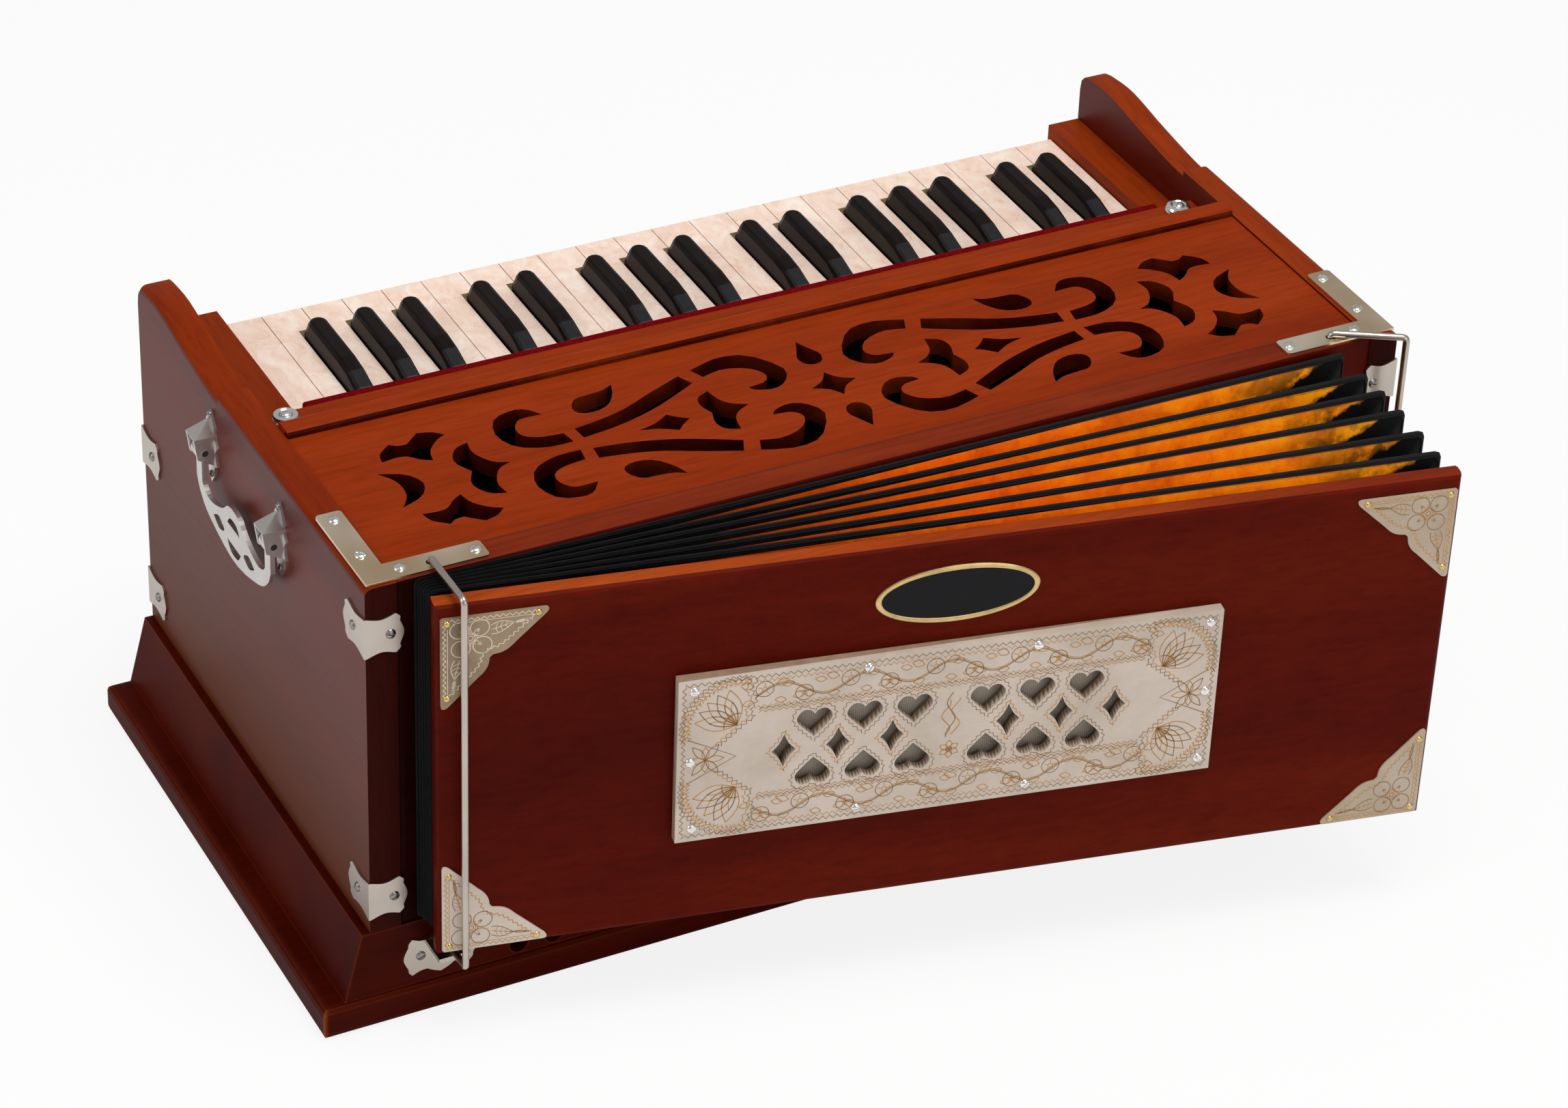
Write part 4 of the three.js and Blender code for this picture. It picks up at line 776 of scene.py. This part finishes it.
def bellows_material():
    """Black leatherette over the ridges and corners, paper in the valleys."""
    made, tree, shader = material("bellows_cloth")
    leatherette(shader)
    paper = node(tree, "ShaderNodeBsdfPrincipled")
    valley_paper(paper)
    depth, reach = [node(tree, "ShaderNodeAttribute", attribute_name=name).outputs["Fac"]
                    for name in ("fold_depth", "corner_reach")]
    # Painted highlight: the ridge tops are made a lighter grey, as if they caught the light
    recolour(shader, 1.0, ramp(tree, depth, [(0.0, (0.009, 0.009, 0.01)), (0.05, BLACK)]), "ADD")
    # The cloth hides more of the paper towards the closed end
    cover = fit(tree, axis(tree, "X"), 0.2, (BAND + 0.1) / FOLD, -0.2, 0.12)
    band = calculate(tree, "LESS_THAN", depth, cover)
    # Gussets at the corners, with a ragged edge and a stain beside it
    slanted = calculate(tree, "MULTIPLY_ADD", depth, -GUSSET_SLANT, reach)
    ragged = calculate(tree, "MULTIPLY_ADD", noise(tree, 130, 4, 0.6), 22.0, slanted)
    gusset = fit(tree, ragged, 1.0, 0.0, GUSSET + 9.0, GUSSET + 15.0)
    stain = fit(tree, ragged, 1.0, 0.0, GUSSET + 12.0, GUSSET + 62.0)
    patch = ramp(tree, noise(tree, 70, 4, 0.6), [(0.42, BLACK), (0.56, WHITE)])
    recolour(paper, blend_colours(tree, stain, BLACK, patch), (0.1, 0.035, 0.001), "MIX")
    mix_to(tree.nodes["Material Output"], calculate(tree, "MAXIMUM", band, gusset), paper, shader)
    return made


def make_bellows():
    points, faces, weights, depths, reaches = bellows_mesh()
    mesh = bpy.data.meshes.new("bellows_folds")
    mesh.from_pydata([tuple(p) for p in points], [], faces)
    mesh.materials.append(bellows_material())
    for key, values in (("fold_depth", depths), ("corner_reach", reaches)):
        mesh.attributes.new(key, "FLOAT", "POINT").data.foreach_set("value", values)
    mesh.update()
    made = in_scene("bellows_folds", mesh)
    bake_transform(made)
    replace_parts(made, "bellows")


make_bellows()


# Latch wires, smoother than their solids

WIRE_BEND = 0.0025  # metres


def bend_points(before, corner, after):
    start = corner + (before - corner).normalized() * WIRE_BEND
    end = corner + (after - corner).normalized() * WIRE_BEND
    return [start.lerp(corner, k / 6).lerp(corner.lerp(end, k / 6), k / 6) for k in range(7)]


def latch_wire(name, body, x, turn):
    """Up from the case, out over the pump board, down its face and back under it."""
    reach, head, hook = 38.05, 259.75, 46
    place = Matrix.Translation(at(x, LATCH_Y, 0)) @ Matrix.Rotation(turn, 4, "Z")

    def spot(out, z):
        return Vector((0, -out / 1000, z / 1000))
    low, top, ahead = spot(0, 244), spot(0, head), spot(reach, head)
    foot, tip = spot(reach, hook), spot(reach - 16, hook)
    path = [low, *bend_points(low, top, ahead), *bend_points(top, ahead, foot)]
    path += [spot(reach, z) for z in (200, 150, 100)]
    path += [*bend_points(ahead, foot, tip), tip]
    pile = Pile()
    pile.add_mesh(tube([place @ p for p in path], 1.75, 14), Matrix.Identity(4))
    return pile.piece(name, body, [nickel], "plated_metal", math.radians(50))


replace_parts(latch_wire("left_latch", "latch_left", HINGE_X, 0), "left_latch_wire")
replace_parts(latch_wire("right_latch", "latch_right", CASE_LENGTH - HINGE_X, LATCH_OUT), "right_latch_wire")


# Screws, nails and washers

small_screw = screw_shape(3.1, 1.5)
ear_screw = screw_shape(1.9, 1.3)
flap_screw = screw_shape(2.6, 1.3)
grille_screw = screw_shape(2.6, 1.6)
wide_screw = screw_shape(3.2, 1.7)
washer = mesh_parts(turned([(6.2, 0), (6.6, 0.5), (6.0, 1.6), (4.2, 2.2), (3.4, 1.6), (3.3, 1.0), (0, 1.0)], 28))
nail = mesh_parts(turned([(1.75, -0.1), (1.7, 0.35), (1.3, 0.8), (0.6, 1.05), (0, 1.1)], 16))
UP = (0, 0, 1)


def case_screws():
    pile, dull = Pile(), Pile()
    top = 257.55
    for x, y, turn in ((59, 8.2, 0.4), (21, 8.6, 1.2), (8.6, 25, 2.2), (8.8, 57, 0.9)):
        pile.add_mesh(small_screw, facing(at(x, y, top), UP, turn))
        pile.add_mesh(small_screw, facing(at(CASE_LENGTH - x, y, top), UP, turn + 1))
    ends = ((-1, 0), (1, CASE_LENGTH))
    for y, out, heights, turn in ((0, -1, (229, 76), 1), (CASE_DEPTH, 1, (163, 76), 2)):
        for z in heights:
            for side, x in ends:
                dull.add_mesh(flap_screw, facing(at(x - side * 12.3, y + out, z), (0, out, 0), z))
                dull.add_mesh(flap_screw, facing(at(x + side, y - out * 13, z), (side, 0, 0), z + turn))
    for side, x in ends:
        for y in (HANDLE_Y - HANDLE_HALF, HANDLE_Y + HANDLE_HALF):
            for z in (240.4, 206):
                dull.add_mesh(ear_screw, facing(at(x + side * 1.4, y, z), (side, 0, 0), y + z))
    for x in (25.5, CASE_LENGTH - 25.5):
        dull.add_mesh(flap_screw, facing(at(x, -1.2, 35), (0, -1, 0), x))
    for x in (CUP_X, CASE_LENGTH - CUP_X):
        pile.add_mesh(washer, facing(at(x, CUP_Y, 245.6), UP))
        pile.add_mesh(wide_screw, facing(at(x, CUP_Y, 247), UP, x))
    pile.piece("case_screws", "case", [bright_nickel], "plated_metal")
    dull.piece("flap_screws", "case", [steel], "plated_metal")


def board_screws():
    pile, nails = Pile(), Pile()
    out = tuple(BOARD.to_3x3() @ Vector((0, -1, 0)))
    for u, z in ((122.4, 191.7), (207.5, 192.5), (291.4, 192.2), (378.3, 192.0), (122.7, 111.4), (204.3, 110.1),
                 (289.5, 110.2), (378.2, 111.3), (121.1, 150.8), (378.7, 151.5)):
        pile.add_mesh(grille_screw, facing(on_board(u, z, -GRILLE_FRONT), out, u + z))
    for u0, side, z0, up in CORNER_PLATES:
        for a, b in ((3.4, 3.3), (46.2, 2.9), (3.1, 45.2)):
            nails.add_mesh(nail, facing(on_board(u0 + side * a, z0 + up * b), out))
    pile.piece("grille_screws", "pump", [bright_nickel], "plated_metal")
    nails.piece("plate_nails", "pump", [brass], "plated_metal")


case_screws()
board_screws()


# Engraving on the plates: thin ribbons just proud of the sheet

LINE = 1.7  # makes every engraved line wider than its call says


def ribbon(pile, path, width, out, kind):
    """A flat line along (u, z) points of the board."""
    width *= LINE
    points, faces = [], []
    for i, (u, z) in enumerate(path):
        u0, z0 = path[max(0, i - 1)]
        u1, z1 = path[min(len(path) - 1, i + 1)]
        du, dz = u1 - u0, z1 - z0
        long = math.hypot(du, dz) or 1
        nu, nz = -dz / long * width / 2, du / long * width / 2
        points += [on_board(u + nu, z + nz, out), on_board(u - nu, z - nz, out)]
    for i in range(len(path) - 1):
        faces.append([2 * i, 2 * i + 1, 2 * i + 3, 2 * i + 2])
    pile.add(points, faces, kind)


def resample(path, step):
    """Points at equal steps along a path."""
    out = [path[0]]
    left = step
    for (u0, z0), (u1, z1) in zip(path, path[1:]):
        length = math.hypot(u1 - u0, z1 - z0)
        done = 0.0
        while length - done >= left:
            done += left
            left = step
            t = done / length
            out.append((u0 + (u1 - u0) * t, z0 + (z1 - z0) * t))
        left -= length - done
    return out


def zigzag(path, pitch, size):
    """A path that swings to both sides of another."""
    points = resample(path, pitch)
    made = []
    for i, (u, z) in enumerate(points):
        u0, z0 = points[max(0, i - 1)]
        u1, z1 = points[min(len(points) - 1, i + 1)]
        long = math.hypot(u1 - u0, z1 - z0) or 1
        shift = size if i % 2 else -size
        made.append((u - (z1 - z0) / long * shift, z + (u1 - u0) / long * shift))
    return made


def polar(u, z, reach, turn):
    """A point at a distance from another, turn in radians."""
    return u + reach * math.cos(turn), z + reach * math.sin(turn)


def ring(u, z, radius, steps):
    return [polar(u, z, radius, 2 * math.pi * k / steps) for k in range(steps + 1)]


def leaf(u, z, length, wide, angle):
    """Outline of a pointed leaf from its foot."""
    a, steps = math.radians(angle), 8
    made = []
    for side in (1, -1):
        run = [(length * k / steps, side * wide * math.sin(math.pi * k / steps)) for k in range(steps + 1)]
        made += run if side == 1 else run[::-1]
    return [(u + p * math.cos(a) - q * math.sin(a), z + p * math.sin(a) + q * math.cos(a)) for p, q in made]


HEART = [(0, -1), (0.5, -0.45), (0.86, 0.0), (0.96, 0.4), (0.82, 0.8), (0.5, 0.98), (0.2, 0.88), (0, 0.66)]
HEART = HEART + [(-x, y) for x, y in HEART[-2::-1]]
DIAMOND = [(0, -1), (0.42, -0.42), (1, 0), (0.42, 0.42), (0, 1), (-0.42, 0.42), (-1, 0), (-0.42, -0.42), (0, -1)]


def scaled(shape, u, z, wide, tall, grow):
    return [(u + x * (wide + grow), z + y * (tall + grow)) for x, y in shape]


def grille_engraving():
    pile = Pile()
    out = -GRILLE_FRONT + 0.04
    tan, dark = 0, 1

    def line(path, width, kind=tan):
        ribbon(pile, path, width, out, kind)

    u0, u1 = GRILLE_U - GRILLE_HALF_U + 3, GRILLE_U + GRILLE_HALF_U - 3
    z0, z1 = GRILLE_Z - GRILLE_HALF_Z + 3, GRILLE_Z + GRILLE_HALF_Z - 3
    frame_path = [(u0, z0), (u1, z0), (u1, z1), (u0, z1), (u0, z0)]
    line(zigzag(frame_path, 1.8, 0.9), 0.34, dark)
    for side in (-1, 1):
        for up in (-1, 1):
            def spot(a, b, flip=side, rise=up):
                return GRILLE_U + flip * (GRILLE_HALF_U - a), GRILLE_Z + rise * (GRILLE_HALF_Z - b)
            # Shell in the corner: petals that fan out from its inner side, in two scalloped arcs
            centre = (29.0, 29.0)
            for k in range(5):
                turn = 180 + 11 + k * 17
                line([spot(*p) for p in leaf(*centre, 21, 4.2, turn)], 0.3, dark if k % 2 else tan)
                line([spot(*p) for p in leaf(*centre, 14, 1.6, turn)], 0.24)
            for radius, kind in ((24.0, tan), (26.0, tan), (27.6, dark), (6.5, dark)):
                path = [polar(*centre, radius, math.radians(a)) for a in range(165, 286, 5)]
                line([spot(*p) for p in (zigzag(path, 1.5, 0.7) if radius > 20 else path)], 0.32, kind)
            for k in range(22):
                a = math.radians(168 + k * 5.4)
                line([spot(*polar(*centre, r, a + w)) for r, w in ((22.4, 0.0), (24.6, 0.05), (26.8, 0.0))], 0.22)
            outer = [(37 + 1.5 * math.sin(b * 0.5), b) for b in range(4, 28, 2)]
            outer += [(36 - (b - 26) * 1.1, b) for b in range(28, 42, 2)]
            line(zigzag([spot(*p) for p in outer], 1.6, 0.8), 0.34, dark)
            line(zigzag([spot(a - 2.6, b) for a, b in outer], 1.6, 0.6), 0.3)
    # Scroll bands above and below the hearts: round blossoms between curling leaves on a hatched ground
    for up in (-1, 1):
        base = GRILLE_Z + up * 34.4
        vine = [(u, base + up * 4.6 * math.sin((u - 155) * math.pi / 21)) for u in range(152, 349, 2)]
        line(vine, 0.36, dark)
        line([(u, z + 0.9) for u, z in vine], 0.26)
        for k in range(10):
            u = 155 + k * 21 + (0 if k % 2 else 1.5)
            rise = up if k % 2 == 0 else -up
            line(ring(u, base + rise * 2.4, 4.4, 18), 0.28, dark)
            line(ring(u, base + rise * 2.4, 1.2, 8), 0.24)
            for turn in range(18, 378, 72):
                line([polar(u, base + rise * 2.4, r, math.radians(turn)) for r in (1.6, 3.4)], 0.22)
            for away in (-1, 1):
                line(leaf(u + away * 5.6, base + rise * 4.2, 6.5, 1.9, 90 - away * 72 * rise), 0.28)
                line(leaf(u + away * 5.2, base - rise * 4.4, 5.6, 1.6, 90 - away * 100), 0.26)
        for k in range(66):
            u = 152 + k * 3.0
            for edge in (-7.4, 7.4):
                line([(u, base + edge - 0.9), (u + 1.5, base + edge + 0.9), (u + 3, base + edge - 0.9)], 0.22)
        for level in (24.3, 25.9):
            path = [(154, GRILLE_Z + up * level), (347, GRILLE_Z + up * level)]
            line(zigzag(path, 1.7, 0.7), 0.32, tan if level < 25 else dark)
    # Zigzag round each heart and diamond
    for side in (-1, 1):
        for i in range(3):
            u = GRILLE_U + side * (18.2 + i * 24.9)
            heart = scaled(HEART, u, HEART_ROW + HEART_RISE, 9, 8.25, 2.3)
            line(zigzag(heart, 1.6, 0.6), 0.3, dark)
            line(zigzag([(p, 2 * HEART_ROW - q) for p, q in heart], 1.6, 0.6), 0.3, dark)
            u = GRILLE_U + side * (29 + i * 26.8)
            line(zigzag(scaled(DIAMOND, u, HEART_ROW, 6, 9.5, 2.5), 1.6, 0.6), 0.3)
    # Flame in the middle and stars at both ends
    for k, (a, b) in enumerate(((0, 1), (2.4, 0.8), (-2.4, 0.8))):
        path = [(GRILLE_U + a + 2.2 * math.sin(z * 0.33 + k), GRILLE_Z + z * b) for z in range(-6, 22, 2)]
        line(path, 0.34, tan if k else dark)
    for a in range(0, 360, 60):
        line(leaf(GRILLE_U, GRILLE_Z - 13.5, 5.2, 1.6, a + 30), 0.28)
    line(ring(GRILLE_U, GRILLE_Z - 13.5, 1.4, 10), 0.3, dark)
    for side in (-1, 1):
        u = GRILLE_U + side * (GRILLE_HALF_U - 14)
        for a in (0, 52, 90, 128, 180, 232, 270, 308):
            reach = 13 if a % 90 else 9
            line(leaf(u, GRILLE_Z, reach if a in (0, 180) else reach * 0.8, 1.8, a), 0.3, dark if a % 90 else tan)
        line([(u + side * 9, GRILLE_Z - 13), (u - side * 15, GRILLE_Z), (u + side * 9, GRILLE_Z + 13)], 0.34, dark)
    pile.piece("grille_engraving", "pump", [engraving, engraving_dark], "engraved_acrylic")


NOTCH = [(45, 3.4), (34, 13.4), (30.5, 16.6), (27, 18.8), (22.8, 19.6), (19.6, 22.8), (18.8, 27), (16.6, 30.5),
         (13.4, 34), (3.4, 45)]


def corner_figure(line):
    """Figures of one corner plate; line takes points measured along and down from its outer corner."""
    line(zigzag([(46, 1.9), (1.9, 1.9), (1.9, 46)], 1.5, 0.7), 0.34, 0)
    line([(44, 3.4), (6, 3.4)], 0.2, 0)
    line([(3.4, 6), (3.4, 44)], 0.2, 0)
    line(zigzag(NOTCH, 1.5, 0.7), 0.34, 0)
    for a, b in ((18.6, 7.2), (9.0, 7.6), (19.8, 17.0), (9.6, 18.0)):
        line([(p, b + (q - b) * 1.02) for p, q in ring(a, b, 4.5, 22)], 0.3, 1)
        toward = math.atan2(12.6 - b, 14.2 - a)
        for turn in (-0.35, 0.0, 0.35):
            line([polar(a, b, r, toward + turn) for r in (0.6, 2.6)], 0.22, 1)
    for radius, kind in ((1.2, 1), (2.2, 0), (3.1, 0)):
        line(ring(14.2, 12.6, radius, 18), 0.26, kind)
    for k in range(12):
        line([polar(14.2, 12.6, r, k * math.pi / 6) for r in (3.4, 4.4)], 0.24, 0)
    for order in (1, -1):
        def vein(path, width, kind):
            line([point[::order] for point in path], width, kind)
        upper = [(24 + k * 2.3, 6.6 - 1.3 * math.sin(k * 0.8) - k * 0.16) for k in range(9)]
        lower = [(24 + k * 2.3, 11.6 + 1.1 * math.sin(k * 0.9) - k * 0.85) for k in range(9)]
        vein(upper, 0.28, 1)
        vein(lower, 0.28, 1)
        vein([((a + c) / 2, (b + d) / 2) for (a, b), (c, d) in zip(upper, lower)], 0.24, 0)
        for k in range(1, 8):
            (a, b), (c, d) = upper[k], lower[k]
            vein([(a + 0.8, b + 0.5), ((a + c) / 2 - 0.4, (b + d) / 2)], 0.2, 0)
            vein([(c + 0.8, d - 0.5), ((a + c) / 2 - 0.4, (b + d) / 2)], 0.2, 0)


def corner_engraving():
    pile = Pile()
    for u0, side, z0, up in CORNER_PLATES:
        def line(path, width, kind):
            path = [(u0 + side * a, z0 + up * b) for a, b in path]
            ribbon(pile, path, width, 0.03, 2 if side > 0 > up else kind)
        corner_figure(line)
    pile.piece("corner_engraving", "pump", [engraving, engraving_dark, engraving_pale], "engraved_acrylic")


grille_engraving()
corner_engraving()


# Badge left bare: a black oval with a gold rim

def badge():
    """Rings given by half width, half height and distance from the board."""
    pile = Pile()
    steps = 64
    levels = [(40.6, 16.1, -0.8), (40.6, 16.1, 0.0), (40.0, 15.5, 0.45), (38.4, 13.9, 0.45), (37.8, 13.3, 0.1)]
    points = [on_board(251.0 + wide * c, 225.2 + tall * s, out) for wide, tall, out in levels
              for c, s in circle(steps)]
    pile.add(points, bands(len(levels), steps), 0)
    pile.add(points[-steps:], [list(range(steps))], 1)
    pile.piece("plain_badge", "pump", [badge_gold, badge_black], "plated_metal")


badge()


# Woven screen behind the grille, and a black sheet under the fretwork as painted shade seen through its holes

def sheet(name, body, made, corner, size, place):
    """A thin board with rounded edges, its corner and size in millimetres, placed by a function."""
    work = bmesh.new()
    bmesh.ops.create_cube(work, size=1)
    for vertex in work.verts:
        vertex.co = Vector([corner[i] + (vertex.co[i] + 0.5) * size[i] for i in range(3)])
    bmesh.ops.bevel(work, geom=work.edges[:], offset=0.3, segments=2, affect="EDGES", profile=0.5)
    for vertex in work.verts:
        vertex.co = place(*vertex.co)
    bmesh.ops.recalc_face_normals(work, faces=work.faces)
    pile = Pile()
    pile.add(*mesh_parts(work))
    pile.piece(name, body, [made])


sheet("air_screen", "pump", screen_weave, (GRILLE_U - 94, -BOARD_FACE - 3.2, GRILLE_Z - 25.4), (188, 1.0, 50.8),
      lambda u, out, z: on_board(u, z, out))
# Painted shade: the black sheet under the fretwork
sheet("fret_shadow_sheet", "case", painted_shadow_sheet, (20, 18, 236.5), (520, 113, 1.2), at)


# Floor, light and camera

FOCAL_LENGTH, PHOTO_WIDTH = 7080.07, 2296  # pixels


def stage_and_light():
    mesh = bpy.data.meshes.new("floor")
    reach, sunk = 6.0, -0.0002
    mesh.from_pydata([(x * reach, y * reach, sunk) for x, y in ((-1, -1), (1, -1), (1, 1), (-1, 1))], [],
                     [(0, 1, 2, 3)])
    floor = in_scene("floor", mesh)
    made, tree, shader = material("pale_floor")
    feed(shader, Base_Color=(0.9, 0.9, 0.9), Roughness=0.9, Specular_IOR_Level=0.1)
    seen = node(tree, "ShaderNodeLightPath").outputs["Is Camera Ray"]
    mix_to(tree.nodes["Material Output"], calculate(tree, "MULTIPLY", seen, 0.86), shader,
           node(tree, "ShaderNodeEmission", Strength=1.0))
    mesh.materials.append(made)

    world = bpy.data.worlds.new("studio")
    bpy.context.scene.world = world
    world.use_nodes = True
    tree = world.node_tree
    light = tree.nodes["Background"]
    feed(light, Color=WHITE, Strength=0.4)
    mix_to(tree.nodes["World Output"], node(tree, "ShaderNodeLightPath").outputs["Is Camera Ray"], light,
           node(tree, "ShaderNodeBackground", Strength=1.0))

    def lamp(name, place, size, power, colour=WHITE):
        data = bpy.data.lights.new(name, "AREA")
        data.shape = "RECTANGLE"
        data.size, data.size_y = size
        data.energy = power
        data.color = colour
        made = in_scene(name, data)
        made.location = place
        made.rotation_euler = (middle - Vector(place)).to_track_quat("-Z", "Y").to_euler()

    middle = Vector((0, 0, 0.15))
    lamp("key", (0.1, -0.5, 2.2), (1.2, 1.0), 28, (1, 0.985, 0.96))
    lamp("left", (-2.2, 0.0, 1.3), (1.0, 1.2), 12)
    lamp("front", (0.7, -2.4, 1.2), (1.6, 1.2), 10)


def photo_camera():
    data = bpy.data.cameras.new("camera")
    data.sensor_fit = "HORIZONTAL"
    data.sensor_width = 36.0
    data.lens = FOCAL_LENGTH / PHOTO_WIDTH * data.sensor_width
    data.clip_start, data.clip_end = 0.1, 50
    made = in_scene("camera", data)
    right = Vector((0.89116627, -0.45240185, 0.03398885))
    down = Vector((-0.22935393, -0.5138981, -0.82662296))
    ahead = Vector((0.39143256, 0.72886302, -0.5617288))
    turn = Matrix((right, -down, -ahead)).transposed()
    made.matrix_world = Matrix.Translation(at(-688.35, -1684.22, 1514.32)) @ turn.to_4x4()
    bpy.context.scene.camera = made


stage_and_light()
photo_camera()
bpy.context.scene.view_settings.view_transform = "Standard"
